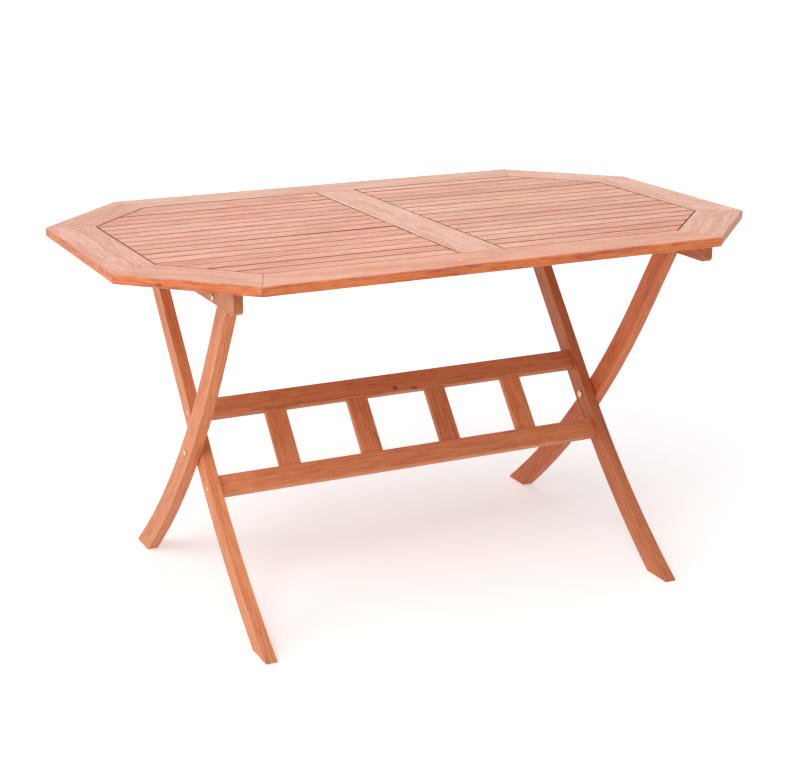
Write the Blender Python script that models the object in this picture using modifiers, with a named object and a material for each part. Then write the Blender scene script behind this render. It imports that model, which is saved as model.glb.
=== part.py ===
"""Folding octagonal garden table: slatted top on two crossed pairs of bowed legs.

Metres, +Z up. The origin is on the floor below the middle of the top, X runs along the
table's length and Y across it, with the front at -Y.
"""

import math
from collections import namedtuple

import bmesh
import bpy
from mathutils import Vector

# Table top
LENGTH = 1.350
WIDTH = 0.865
HEIGHT = 0.739
TOP_THICKNESS = 0.019
CORNER_CUT_X = 0.201
CORNER_CUT_Y = 0.206
BOARD_WIDTH = 0.0915
EDGE_RADIUS = 0.003
CLEARANCE = 0.0003

# Slats and their joints
SLATS_PER_PANEL = 17
SLAT_GAP = 0.003
SLAT_END_SEAM = 0.0012
SLAT_CHAMFER = 0.001
TIGHT_SLAT = 8
TONGUE_LENGTH = 0.008
TONGUE_THICKNESS = 0.006
TONGUE_INSET = 0.002
GROOVE_DEPTH = 0.009
GROOVE_HEIGHT = 0.0066
TENON_WIDTH = 0.070

# Battens under the top
BATTEN_INNER_X = 0.4835
BATTEN_THICKNESS = 0.019
BATTEN_LENGTH = 0.732
BATTEN_BOTTOM = 0.6743
BATTEN_CORNER_RADIUS = 0.010
BATTEN_CHAMFER = 0.0015
NOTCH_RADIUS = 0.0116
NOTCH_WALL_LEAN = 30.0

# Legs: the centre line leans by top_lean (degrees) and is straight from straight_from upwards,
# measured along it from the pivot, and bowed to bow_radius below that
LegShape = namedtuple("LegShape", "top_lean bow_radius straight_from")
OUTER_LEG = LegShape(top_lean=31.6, bow_radius=2.13, straight_from=0.302)
INNER_LEG = LegShape(top_lean=38.8, bow_radius=1.77, straight_from=0.004)
LEG_THICKNESS = 0.0225
OUTER_LEG_X = 0.4575
LEG_GAP = 0.0020
PIVOT_Y = -0.0036
PIVOT_Z = 0.3105
LEG_FOOT_HALF_WIDTH = 0.0222
LEG_TOP_HALF_WIDTH = 0.0212
LEG_TIP_RADIUS = 0.002
LEG_HEEL_RADIUS = 0.012
LEG_CORNER_ROOM = 0.016
LEG_EDGE_RADIUS = 0.003
LEG_LOWEST_RUN = -0.520
BOW_STEPS = 14
HINGE_Z = 0.6865
CROSSBAR_Z = 0.684

# Inner frame
CROSSBAR_RADIUS = 0.011
CROSSBAR_HOLE_RADIUS = 0.0114
CROSSBAR_HALF_LENGTH = 0.5023
RAIL_WIDTH = 0.0425
RAIL_THICKNESS = 0.020
RAIL_OFFSET = 0.0826
RAIL_EDGE_RADIUS = 0.003
LADDER_SLAT_WIDTH = 0.0455
LADDER_SLAT_THICKNESS = 0.012
LADDER_SLAT_X = (-0.2728, -0.0902, 0.0902, 0.2728)
LADDER_SLAT_CHAMFER = 0.0015
MORTISE_DEPTH = 0.010
MORTISE_END_ROOM = 0.0005

# Bolts
BOLT_RADIUS = 0.004
BOLT_HOLE_RADIUS = 0.0045
HEAD_RADIUS = 0.0065
HEAD_HEIGHT = 0.003
COLLAR_RADIUS = 0.010
NUT_RADIUS = 0.0075
SOCKET_RADIUS = 0.003
SOCKET_DEPTH = 0.0015
TURNED_STEPS = 24

# Colours: red, green, blue in linear light
PALE_WOOD = (0.79, 0.45, 0.34)
RED_WOOD = (0.70, 0.25, 0.11)
BRASS = (0.72, 0.50, 0.22)

SIDES = (("left", -1), ("right", 1))


def clear_scene():
    """Remove every object of the start-up scene."""
    for scene_object in list(bpy.data.objects):
        bpy.data.objects.remove(scene_object, do_unlink=True)


def make_collection(name):
    """Add a collection to the scene."""
    collection = bpy.data.collections.new(name)
    bpy.context.scene.collection.children.link(collection)
    return collection


def make_material(name, colour, roughness, metallic):
    """Make a surface finish of one colour."""
    material = bpy.data.materials.new(name)
    material.use_nodes = True
    shader = material.node_tree.nodes["Principled BSDF"]
    shader.inputs["Base Color"].default_value = (*colour, 1.0)
    shader.inputs["Roughness"].default_value = roughness
    shader.inputs["Metallic"].default_value = metallic
    return material


def make_object(name, mesh, collection, location=(0, 0, 0), rotation=(0, 0, 0)):
    """Put a mesh in a collection as a named object."""
    made = bpy.data.objects.new(name, mesh)
    made.location = location
    made.rotation_euler = rotation
    collection.objects.link(made)
    return made


def make_empty(name, collection, location, parent=None):
    """Add an empty that other pieces hang on."""
    empty = bpy.data.objects.new(name, None)
    empty.empty_display_size = 0.05
    collection.objects.link(empty)
    attach(empty, parent, location)
    return empty


def attach(child, parent, location):
    """Parent a piece and give it its place in world coordinates."""
    origin = parent.matrix_world.translation if parent else Vector()
    child.parent = parent
    child.location = Vector(location) - origin
    bpy.context.view_layer.update()


# Flat outlines


def clip(outline, normal, distance):
    """Keep the part of a convex outline where normal . point <= distance."""
    kept = []
    for index, point in enumerate(outline):
        previous = outline[index - 1]
        depth = normal.dot(point) - distance
        previous_depth = normal.dot(previous) - distance
        if (depth > 0) != (previous_depth > 0):
            share = previous_depth / (previous_depth - depth)
            kept.append(previous.lerp(point, share))
        if depth <= 0:
            kept.append(point)
    return kept


def rectangle(x_low, x_high, y_low, y_high):
    """Corner points of a rectangle, counterclockwise."""
    corners = ((x_low, y_low), (x_high, y_low), (x_high, y_high), (x_low, y_high))
    return [Vector(corner) for corner in corners]


def arc(centre, radius, start, end, steps):
    """Points along an arc, angles in degrees."""
    points = []
    for step in range(steps + 1):
        angle = math.radians(start + (end - start) * step / steps)
        points.append(centre + radius * Vector((math.cos(angle), math.sin(angle))))
    return points


def fillet(outline, index, radius, steps):
    """Replace one corner of an outline by an arc that meets both its sides."""
    corner = outline[index]
    before = (outline[index - 1] - corner).normalized()
    after = (outline[(index + 1) % len(outline)] - corner).normalized()
    half = before.angle(after) / 2
    middle = corner + (before + after).normalized() * radius / math.sin(half)
    start = corner + before * radius / math.tan(half) - middle
    end = corner + after * radius / math.tan(half) - middle
    turn = start.angle_signed(end)
    points = []
    for step in range(steps + 1):
        angle = -turn * step / steps
        cosine, sine = math.cos(angle), math.sin(angle)
        turned = Vector((cosine * start.x - sine * start.y, sine * start.x + cosine * start.y))
        points.append(middle + turned)
    return outline[:index] + points + outline[index + 1:]


def flat_mesh(name, outline, thickness):
    """Fill a closed outline and give it a thickness, half to each side of its plane."""
    curve = bpy.data.curves.new(name, "CURVE")
    curve.dimensions = "2D"
    curve.fill_mode = "BOTH"
    curve.extrude = thickness / 2
    spline = curve.splines.new("POLY")
    spline.points.add(len(outline) - 1)
    for point, place in zip(spline.points, outline):
        point.co = (place.x, place.y, 0, 1)
    spline.use_cyclic_u = True
    holder = bpy.data.objects.new(name, curve)
    bpy.context.scene.collection.objects.link(holder)
    bpy.context.view_layer.update()
    evaluated = holder.evaluated_get(bpy.context.evaluated_depsgraph_get())
    mesh = bpy.data.meshes.new_from_object(evaluated)
    mesh.name = name
    bpy.data.objects.remove(holder)
    bpy.data.curves.remove(curve)
    shell = bmesh.new()
    shell.from_mesh(mesh)
    bmesh.ops.remove_doubles(shell, verts=shell.verts, dist=0.00001)
    bmesh.ops.dissolve_limit(
        shell, angle_limit=math.radians(0.05), verts=shell.verts, edges=shell.edges)
    bmesh.ops.recalc_face_normals(shell, faces=shell.faces)
    if shell.calc_volume(signed=True) < 0:
        bmesh.ops.reverse_faces(shell, faces=shell.faces)
    shell.to_mesh(mesh)
    shell.free()
    mesh.materials.clear()
    return mesh


def box_mesh(name, size):
    """A box centred on its origin."""
    mesh = bpy.data.meshes.new(name)
    shell = bmesh.new()
    bmesh.ops.create_cube(shell, size=1.0)
    bmesh.ops.scale(shell, vec=Vector(size), verts=shell.verts)
    shell.to_mesh(mesh)
    shell.free()
    return mesh


def cylinder_mesh(name, radius, length):
    """A round bar along X, centred on its origin."""
    mesh = bpy.data.meshes.new(name)
    shell = bmesh.new()
    bmesh.ops.create_cone(shell, cap_ends=True, segments=TURNED_STEPS,
                          radius1=radius, radius2=radius, depth=length)
    for vertex in shell.verts:
        vertex.co = Vector((vertex.co.z, vertex.co.y, -vertex.co.x))
    shell.to_mesh(mesh)
    shell.free()
    return mesh


# Modifiers


def weigh_edges(mesh, chosen):
    """Mark the edges to be rounded: chosen takes an edge's middle and direction."""
    weights = mesh.attributes.new("bevel_weight_edge", "FLOAT", "EDGE")
    for edge in mesh.edges:
        start, end = (mesh.vertices[index].co for index in edge.vertices)
        if chosen((start + end) / 2, (end - start).normalized()):
            weights.data[edge.index].value = 1.0


def bevel_marked(piece, width, segments):
    """Round the marked edges of a piece."""
    bevel = piece.modifiers.new("edge_rounding", "BEVEL")
    bevel.limit_method = "WEIGHT"
    bevel.width = width
    bevel.segments = segments


def bevel_sharp(piece, width, segments):
    """Round every edge of a piece that is sharper than 45 degrees."""
    bevel = piece.modifiers.new("edge_rounding", "BEVEL")
    bevel.limit_method = "ANGLE"
    bevel.angle_limit = math.radians(45)
    bevel.width = width
    bevel.segments = segments


def combine(piece, tool, operation):
    """Cut a piece by a tool, or join the tool to it."""
    tool.hide_render = True
    tool.display_type = "WIRE"
    boolean = piece.modifiers.new(tool.name, "BOOLEAN")
    boolean.operation = operation
    boolean.object = tool
    boolean.solver = "EXACT"


# Table top


def top_sides():
    """Outward normal and distance from the middle of the eight sides, counterclockwise."""
    half_x, half_y = LENGTH / 2, WIDTH / 2
    near_x, near_y = half_x - CORNER_CUT_X, half_y - CORNER_CUT_Y
    corners = [Vector(place) for place in (
        (-near_x, -half_y), (near_x, -half_y), (half_x, -near_y), (half_x, near_y),
        (near_x, half_y), (-near_x, half_y), (-half_x, near_y), (-half_x, -near_y))]
    sides = []
    for index, corner in enumerate(corners):
        along = (corners[(index + 1) % len(corners)] - corner).normalized()
        normal = Vector((along.y, -along.x))
        sides.append((normal, normal.dot(corner)))
    return sides


BOARD_NAMES = (
    "edge_board_front", "corner_board_front_right", "edge_board_right",
    "corner_board_rear_right", "edge_board_rear", "corner_board_rear_left",
    "edge_board_left", "corner_board_front_left")


def within(outline, growth):
    """Clip an outline to the opening inside the frame, made larger by growth."""
    for normal, distance in top_sides():
        outline = clip(outline, normal, distance - BOARD_WIDTH + growth)
    return outline


def top_rectangle():
    """A rectangle larger than the whole top."""
    return rectangle(-LENGTH, LENGTH, -WIDTH, WIDTH)


def flat_piece(name, outline, thickness, height, collection):
    """A level piece with its origin at the middle of its outline."""
    middle = Vector((
        (min(point.x for point in outline) + max(point.x for point in outline)) / 2,
        (min(point.y for point in outline) + max(point.y for point in outline)) / 2))
    mesh = flat_mesh(name, [point - middle for point in outline], thickness)
    return make_object(name, mesh, collection, (middle.x, middle.y, height))


def frame_board(index, collection):
    """One mitred board of the frame, with its outer edges rounded."""
    sides = top_sides()
    normal, distance = sides[index]
    outline = clip(top_rectangle(), normal, distance)
    outline = clip(outline, -normal, BOARD_WIDTH - distance)
    for neighbour in (index - 1, (index + 1) % len(sides)):
        other_normal, other_distance = sides[neighbour]
        mitre = other_normal - normal
        limit = (other_distance - distance) / mitre.length - CLEARANCE / 2
        outline = clip(outline, mitre.normalized(), limit)
    height = HEIGHT - TOP_THICKNESS / 2
    board = flat_piece(BOARD_NAMES[index], outline, TOP_THICKNESS, height, collection)
    outer = distance - normal.dot(board.location.xy)

    def is_outer(middle, along):
        on_side = abs(normal.dot(middle.xy) - outer) < 0.0001
        return on_side and abs(along.z) < 0.5

    weigh_edges(board.data, is_outer)
    bevel_marked(board, EDGE_RADIUS, 2)
    return board


def groove_ring(cutters):
    """The slot that the tongues sit in, all round the inside of the frame."""
    outline = within(top_rectangle(), GROOVE_DEPTH)
    height = HEIGHT - TOP_THICKNESS / 2
    return flat_piece("groove_ring", outline, GROOVE_HEIGHT, height, cutters)


def centre_board(collection, cutters):
    """The cross board between the panels, tenoned at its ends and grooved for the slats."""
    half_span = WIDTH / 2 - BOARD_WIDTH
    height = HEIGHT - TOP_THICKNESS / 2
    body = (BOARD_WIDTH, 2 * (half_span - CLEARANCE), TOP_THICKNESS)
    board = make_object("centre_board", box_mesh("centre_board", body), collection,
                        (0, 0, height))
    tenon_size = (TENON_WIDTH, 2 * (half_span + TONGUE_LENGTH), TONGUE_THICKNESS)
    tenon = make_object("centre_tenons", box_mesh("centre_tenons", tenon_size), cutters,
                        (0, 0, height))
    combine(board, tenon, "UNION")
    for side, sign in SIDES:
        size = (2 * GROOVE_DEPTH, WIDTH, GROOVE_HEIGHT)
        groove = make_object(f"centre_groove_{side}", box_mesh(f"centre_groove_{side}", size),
                             cutters, (sign * BOARD_WIDTH / 2, 0, height))
        combine(board, groove, "DIFFERENCE")
    return board


def slat(side, sign, number, collection, cutters):
    """A slat of one panel, with tongues at its ends, counted from the front."""
    half_span = WIDTH / 2 - BOARD_WIDTH
    width = (2 * half_span - (SLATS_PER_PANEL + 1) * SLAT_GAP) / SLATS_PER_PANEL
    front = -half_span + SLAT_GAP + (number - 1) * (width + SLAT_GAP)
    tight = side == "left" and number == TIGHT_SLAT
    inner_seam = CLEARANCE if tight else SLAT_END_SEAM
    inner = BOARD_WIDTH / 2 + inner_seam
    ends = sorted((sign * inner, sign * LENGTH / 2))
    outline = within(rectangle(*ends, front, front + width), -SLAT_END_SEAM)
    name = f"slat_{side}_{number:02d}"
    height = HEIGHT - TOP_THICKNESS / 2
    piece = flat_piece(name, outline, TOP_THICKNESS, height, collection)

    def is_top_edge(middle, along):
        return middle.z > 0 and abs(along.x) > 0.99

    weigh_edges(piece.data, is_top_edge)
    bevel_marked(piece, SLAT_CHAMFER, 1)
    tip = BOARD_WIDTH / 2 - TONGUE_LENGTH
    ends = sorted((sign * tip, sign * LENGTH / 2))
    outline = rectangle(*ends, front + TONGUE_INSET, front + width - TONGUE_INSET)
    outline = within(outline, TONGUE_LENGTH)
    tongue = flat_piece(f"{name}_tongue", outline, TONGUE_THICKNESS, height, cutters)
    combine(piece, tongue, "UNION")
    return piece


# Battens

UPRIGHT = (math.radians(90), 0, math.radians(90))


def upright_mesh_piece(name, outline, thickness, place, collection):
    """A piece cut from a board that stands in the YZ plane."""
    return make_object(name, flat_mesh(name, outline, thickness), collection, place, UPRIGHT)


def bolt_hole(name, radius, place, depth, cutters):
    """A round hole along X."""
    return make_object(name, cylinder_mesh(name, radius, depth), cutters, place)


def batten(side, sign, collection, cutters):
    """The bearer that the outer leg is bolted to, notched for the crossbar."""
    top = HEIGHT - TOP_THICKNESS - CLEARANCE - HINGE_Z
    bottom = BATTEN_BOTTOM - HINGE_Z
    hinge_y = hinge_place()[0]
    crossbar_y = crossbar_place()[0]
    ends = (-BATTEN_LENGTH / 2 - hinge_y, BATTEN_LENGTH / 2 - hinge_y)
    outline = rectangle(*ends, bottom, top)
    outline = fillet(outline, 1, BATTEN_CORNER_RADIUS, 5)
    outline = fillet(outline, 0, BATTEN_CORNER_RADIUS, 5)
    middle_x = sign * (BATTEN_INNER_X + BATTEN_THICKNESS / 2)
    name = f"batten_{side}"
    piece = upright_mesh_piece(name, outline, BATTEN_THICKNESS, (middle_x, hinge_y, HINGE_Z),
                               collection)
    bevel_sharp(piece, BATTEN_CHAMFER, 1)
    hole = bolt_hole(f"{name}_bolt_hole", BOLT_HOLE_RADIUS, (middle_x, hinge_y, HINGE_Z),
                     2 * BATTEN_THICKNESS, cutters)
    combine(piece, hole, "DIFFERENCE")
    notch = upright_mesh_piece(f"{name}_notch", notch_outline(), 2 * BATTEN_THICKNESS,
                               (middle_x, crossbar_y, CROSSBAR_Z), cutters)
    combine(piece, notch, "DIFFERENCE")
    return piece


def notch_outline():
    """The open notch that drops over the crossbar: its front wall leans so the bar can leave."""
    drop = 2 * (CROSSBAR_Z - BATTEN_BOTTOM)
    wall = arc(Vector((0, 0)), NOTCH_RADIUS, 0, 180 - NOTCH_WALL_LEAN, 10)
    lean = math.radians(NOTCH_WALL_LEAN)
    run = (drop + wall[-1].y) / math.cos(lean)
    foot = wall[-1] + run * Vector((-math.sin(lean), -math.cos(lean)))
    return wall + [foot, Vector((NOTCH_RADIUS, -drop))]


# Legs


def leg_line(shape, run):
    """Centre of a leg, relative to the pivot, and its lean, at a run along it from the pivot.

    The leg's foot is on the +Y side, as the outer legs' is.
    """
    top_lean = math.radians(shape.top_lean)
    pivot_lean = top_lean + shape.straight_from / shape.bow_radius
    bow_centre = shape.bow_radius * Vector((math.cos(pivot_lean), math.sin(pivot_lean)))
    bowed_run = min(run, shape.straight_from)
    lean = top_lean + (shape.straight_from - bowed_run) / shape.bow_radius
    place = bow_centre - shape.bow_radius * Vector((math.cos(lean), math.sin(lean)))
    straight_run = max(run - shape.straight_from, 0)
    place += straight_run * Vector((-math.sin(lean), math.cos(lean)))
    return place, lean


def run_to_height(shape, height):
    """Run from the pivot to a height on the straight upper part of a leg."""
    place, lean = leg_line(shape, shape.straight_from)
    return shape.straight_from + (height - PIVOT_Z - place.y) / math.cos(lean)


def hinge_place():
    """World place, Y and Z, of the bolt at the outer legs' tops."""
    place = leg_line(OUTER_LEG, run_to_height(OUTER_LEG, HINGE_Z))[0]
    return Vector((PIVOT_Y + place.x, PIVOT_Z + place.y))


def crossbar_place():
    """World place, Y and Z, of the crossbar at the inner legs' tops."""
    place = leg_line(INNER_LEG, run_to_height(INNER_LEG, CROSSBAR_Z))[0]
    return Vector((PIVOT_Y - place.x, PIVOT_Z + place.y))


def leg_outline(shape, top_height):
    """Outline of a leg relative to the pivot: bowed, tapered, round at the top."""
    top_run = run_to_height(shape, top_height)
    runs = [LEG_LOWEST_RUN + (shape.straight_from - LEG_LOWEST_RUN) * step / BOW_STEPS
            for step in range(BOW_STEPS + 1)]
    rear_edge, front_edge = [], []
    for run in runs:
        place, lean = leg_line(shape, run)
        share = (run - LEG_LOWEST_RUN) / (top_run - LEG_LOWEST_RUN)
        half_width = LEG_FOOT_HALF_WIDTH + share * (LEG_TOP_HALF_WIDTH - LEG_FOOT_HALF_WIDTH)
        across = Vector((math.cos(lean), math.sin(lean)))
        rear_edge.append(place + half_width * across)
        front_edge.append(place - half_width * across)
    top_place, top_lean = leg_line(shape, top_run)
    degrees = math.degrees(top_lean)
    round_top = arc(top_place, LEG_TOP_HALF_WIDTH, degrees, degrees + 180, 12)
    outline = rear_edge + round_top + front_edge[::-1]
    return sole_cut(outline)


def sole_cut(outline):
    """Cut the foot level with the floor and round its pointed tip and its blunt heel."""
    down = Vector((0, -1))
    cut = clip(outline, down, PIVOT_Z)
    on_floor = [point for point in cut if point.y < 0.00001 - PIVOT_Z]
    heel, tip = sorted(on_floor, key=lambda point: point.x)
    cut = [point for point in cut if point in (heel, tip) or (
        (point - tip).length > LEG_CORNER_ROOM and (point - heel).length > LEG_CORNER_ROOM)]
    cut = fillet(cut, cut.index(tip), LEG_TIP_RADIUS, 4)
    return fillet(cut, cut.index(heel), LEG_HEEL_RADIUS, 4)


def leg(name, shape, middle_x, collection, cutters):
    """A leg that turns about the pivot: the inner legs' feet are to the front."""
    inner = shape is INNER_LEG
    outline = leg_outline(shape, CROSSBAR_Z if inner else HINGE_Z)
    if inner:
        outline = [Vector((-point.x, point.y)) for point in reversed(outline)]
    piece = upright_mesh_piece(name, outline, LEG_THICKNESS, (middle_x, PIVOT_Y, PIVOT_Z),
                               collection)
    bevel_sharp(piece, LEG_EDGE_RADIUS, 2)
    depth = 2 * LEG_THICKNESS
    hole = bolt_hole(f"{name}_pivot_hole", BOLT_HOLE_RADIUS, (middle_x, PIVOT_Y, PIVOT_Z),
                     depth, cutters)
    combine(piece, hole, "DIFFERENCE")
    top = crossbar_place() if inner else hinge_place()
    radius = CROSSBAR_HOLE_RADIUS if inner else BOLT_HOLE_RADIUS
    hole = bolt_hole(f"{name}_top_hole", radius, (middle_x, *top), depth, cutters)
    combine(piece, hole, "DIFFERENCE")
    return piece


# Inner frame


def ladder_frame():
    """Middle of the ladder, Y and Z, and its lean from upright, so both rails meet the legs."""
    upper = leg_line(INNER_LEG, RAIL_OFFSET)[0]
    lower = leg_line(INNER_LEG, -RAIL_OFFSET)[0]
    middle = (upper + lower) / 2
    lean = math.atan2(lower.x - upper.x, upper.y - lower.y)
    return Vector((PIVOT_Y - middle.x, PIVOT_Z + middle.y)), lean


def ladder_box(name, size, run, x, collection):
    """A box in the ladder's plane: size along X, through the ladder, and along the legs."""
    middle, lean = ladder_frame()
    place = (x, middle.x + run * math.sin(lean), middle.y + run * math.cos(lean))
    return make_object(name, box_mesh(name, size), collection, place, (-lean, 0, 0))


def rail(name, sign, collection, cutters):
    """A rail between the inner legs, mortised on the edge that faces the other rail."""
    half_length = OUTER_LEG_X - LEG_GAP - LEG_THICKNESS - CLEARANCE
    size = (2 * half_length, RAIL_THICKNESS, RAIL_WIDTH)
    piece = ladder_box(name, size, sign * RAIL_OFFSET, 0, collection)

    def is_long_edge(middle, along):
        return abs(along.x) > 0.99

    weigh_edges(piece.data, is_long_edge)
    bevel_marked(piece, RAIL_EDGE_RADIUS, 2)
    mouth = RAIL_OFFSET - RAIL_WIDTH / 2
    for number, x in enumerate(LADDER_SLAT_X, start=1):
        size = (LADDER_SLAT_WIDTH + 2 * CLEARANCE, LADDER_SLAT_THICKNESS + 2 * CLEARANCE,
                2 * MORTISE_DEPTH)
        mortise = ladder_box(f"{name}_mortise_{number}", size, sign * mouth, x, cutters)
        combine(piece, mortise, "DIFFERENCE")
    return piece


def ladder_slat(number, x, collection):
    """A flat slat between the rails, housed in their mortises."""
    reach = RAIL_OFFSET - RAIL_WIDTH / 2 + MORTISE_DEPTH - MORTISE_END_ROOM
    size = (LADDER_SLAT_WIDTH, LADDER_SLAT_THICKNESS, 2 * reach)
    piece = ladder_box(f"ladder_slat_{number:02d}", size, 0, x, collection)

    def is_long_edge(middle, along):
        return abs(along.z) > 0.99

    weigh_edges(piece.data, is_long_edge)
    bevel_marked(piece, LADDER_SLAT_CHAMFER, 1)
    return piece


def crossbar(collection):
    """The round bar through the tops of the inner legs."""
    mesh = cylinder_mesh("crossbar", CROSSBAR_RADIUS, 2 * CROSSBAR_HALF_LENGTH)
    return make_object("crossbar", mesh, collection, (0, *crossbar_place()))


# Bolts


def turned_piece(name, profile, sign, place, collection):
    """Turn a profile of (radius, distance from the middle plane) about a bolt's axis."""
    mesh = bpy.data.meshes.new(name)
    line = bmesh.new()
    points = [line.verts.new((radius, 0, reach)) for radius, reach in profile]
    for start, end in zip(points, points[1:]):
        line.edges.new((start, end))
    line.to_mesh(mesh)
    line.free()
    piece = make_object(name, mesh, collection, (0, *place), (0, sign * math.radians(90), 0))
    screw = piece.modifiers.new("turning", "SCREW")
    screw.axis = "Z"
    screw.steps = TURNED_STEPS
    screw.render_steps = TURNED_STEPS
    screw.use_merge_vertices = True
    screw.merge_threshold = 0.00001
    screw.use_smooth_shade = False
    return piece


def domed_head(face):
    """Profile of a bolt's domed head, from its crown to the face that it bears on."""
    crown = face + HEAD_HEIGHT
    dome = [(HEAD_RADIUS * math.sin(math.radians(angle)),
             crown - HEAD_HEIGHT * 0.6 * (1 - math.cos(math.radians(angle))))
            for angle in (0, 30, 60, 90)]
    return dome + [(HEAD_RADIUS, face)]


def hinge_bolt(side, sign, collection):
    """Bolt through batten and outer leg, with a collar between them and a nut inside."""
    batten_face = BATTEN_INNER_X + BATTEN_THICKNESS
    outer_face = OUTER_LEG_X + LEG_THICKNESS
    nut_face = OUTER_LEG_X - CLEARANCE
    profile = domed_head(batten_face + CLEARANCE)
    profile += [
        (BOLT_RADIUS, batten_face + CLEARANCE),
        (BOLT_RADIUS, BATTEN_INNER_X - CLEARANCE),
        (COLLAR_RADIUS, BATTEN_INNER_X - CLEARANCE),
        (COLLAR_RADIUS, outer_face + CLEARANCE),
        (BOLT_RADIUS, outer_face + CLEARANCE),
        (BOLT_RADIUS, nut_face),
        (NUT_RADIUS, nut_face),
        (NUT_RADIUS, nut_face - HEAD_HEIGHT),
        (0, nut_face - HEAD_HEIGHT)]
    return turned_piece(f"hinge_bolt_{side}", profile, sign, hinge_place(), collection)


def pivot_bolt(side, sign, collection):
    """Bolt where the legs cross, with a thin washer between them and a socket nut inside."""
    outer_face = OUTER_LEG_X + LEG_THICKNESS
    gap_inner = OUTER_LEG_X - LEG_GAP + CLEARANCE
    gap_outer = OUTER_LEG_X - CLEARANCE
    nut_face = OUTER_LEG_X - LEG_GAP - LEG_THICKNESS - CLEARANCE
    nut_end = nut_face - HEAD_HEIGHT
    profile = domed_head(outer_face + CLEARANCE)
    profile += [
        (BOLT_RADIUS, outer_face + CLEARANCE),
        (BOLT_RADIUS, gap_outer),
        (COLLAR_RADIUS, gap_outer),
        (COLLAR_RADIUS, gap_inner),
        (BOLT_RADIUS, gap_inner),
        (BOLT_RADIUS, nut_face),
        (NUT_RADIUS, nut_face),
        (NUT_RADIUS, nut_end),
        (SOCKET_RADIUS, nut_end),
        (SOCKET_RADIUS, nut_end + SOCKET_DEPTH),
        (0, nut_end + SOCKET_DEPTH)]
    place = (PIVOT_Y, PIVOT_Z)
    return turned_piece(f"pivot_bolt_{side}", profile, sign, place, collection)


# Assembly


def finish(piece, material, parent):
    """Give a piece its material and hang it on its frame, where it stands."""
    piece.data.materials.append(material)
    attach(piece, parent, piece.location.copy())
    piece.data.set_sharp_from_angle(angle=math.radians(30))
    return piece


def build_top(collection, cutters, hinge, pale, red):
    """Frame boards, centre board, slats and battens."""
    ring = groove_ring(cutters)
    for index in range(len(BOARD_NAMES)):
        board = frame_board(index, collection)
        combine(board, ring, "DIFFERENCE")
        finish(board, pale, hinge)
    finish(centre_board(collection, cutters), pale, hinge)
    for side, sign in SIDES:
        for number in range(1, SLATS_PER_PANEL + 1):
            finish(slat(side, sign, number, collection, cutters), pale, hinge)
        finish(batten(side, sign, collection, cutters), red, hinge)


def build_outer_frame(collection, cutters, root, red, brass):
    """Outer legs and the four bolts."""
    middle_x = OUTER_LEG_X + LEG_THICKNESS / 2
    for side, sign in SIDES:
        outer = leg(f"outer_leg_{side}", OUTER_LEG, sign * middle_x, collection, cutters)
        finish(outer, red, root)
        finish(hinge_bolt(side, sign, collection), brass, root)
        finish(pivot_bolt(side, sign, collection), brass, root)


def build_inner_frame(collection, cutters, pivot, red):
    """Inner legs, crossbar and ladder."""
    middle_x = OUTER_LEG_X - LEG_GAP - LEG_THICKNESS / 2
    for side, sign in SIDES:
        inner = leg(f"inner_leg_{side}", INNER_LEG, sign * middle_x, collection, cutters)
        finish(inner, red, pivot)
    finish(crossbar(collection), red, pivot)
    finish(rail("upper_rail", 1, collection, cutters), red, pivot)
    finish(rail("lower_rail", -1, collection, cutters), red, pivot)
    for number, x in enumerate(LADDER_SLAT_X, start=1):
        finish(ladder_slat(number, x, collection), red, pivot)


def main():
    clear_scene()
    collection = make_collection("folding_table")
    cutters = make_collection("cutters")
    pale = make_material("weathered_top_wood", PALE_WOOD, 0.60, 0.0)
    red = make_material("oiled_red_wood", RED_WOOD, 0.50, 0.0)
    brass = make_material("brass", BRASS, 0.35, 1.0)
    root = make_empty("outer_legs", collection, (0, 0, 0))
    hinge = make_empty("tabletop_hinge", collection, (0, *hinge_place()), root)
    pivot = make_empty("inner_legs_pivot", collection, (0, PIVOT_Y, PIVOT_Z), root)
    build_top(collection, cutters, hinge, pale, red)
    build_outer_frame(collection, cutters, root, red, brass)
    build_inner_frame(collection, cutters, pivot, red)


main()
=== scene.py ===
"""Looks of a folding octagonal garden table of oiled red hardwood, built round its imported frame.

Metres, +Z up: X runs along the table, Y across it with the front at -Y, and the floor is Z = 0.
"""

from __future__ import annotations

import logging
import math
import random
import zlib
from dataclasses import dataclass, field
from enum import Enum
from typing import Callable, Sequence

import bmesh
import bpy
from mathutils import Matrix, Vector

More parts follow.
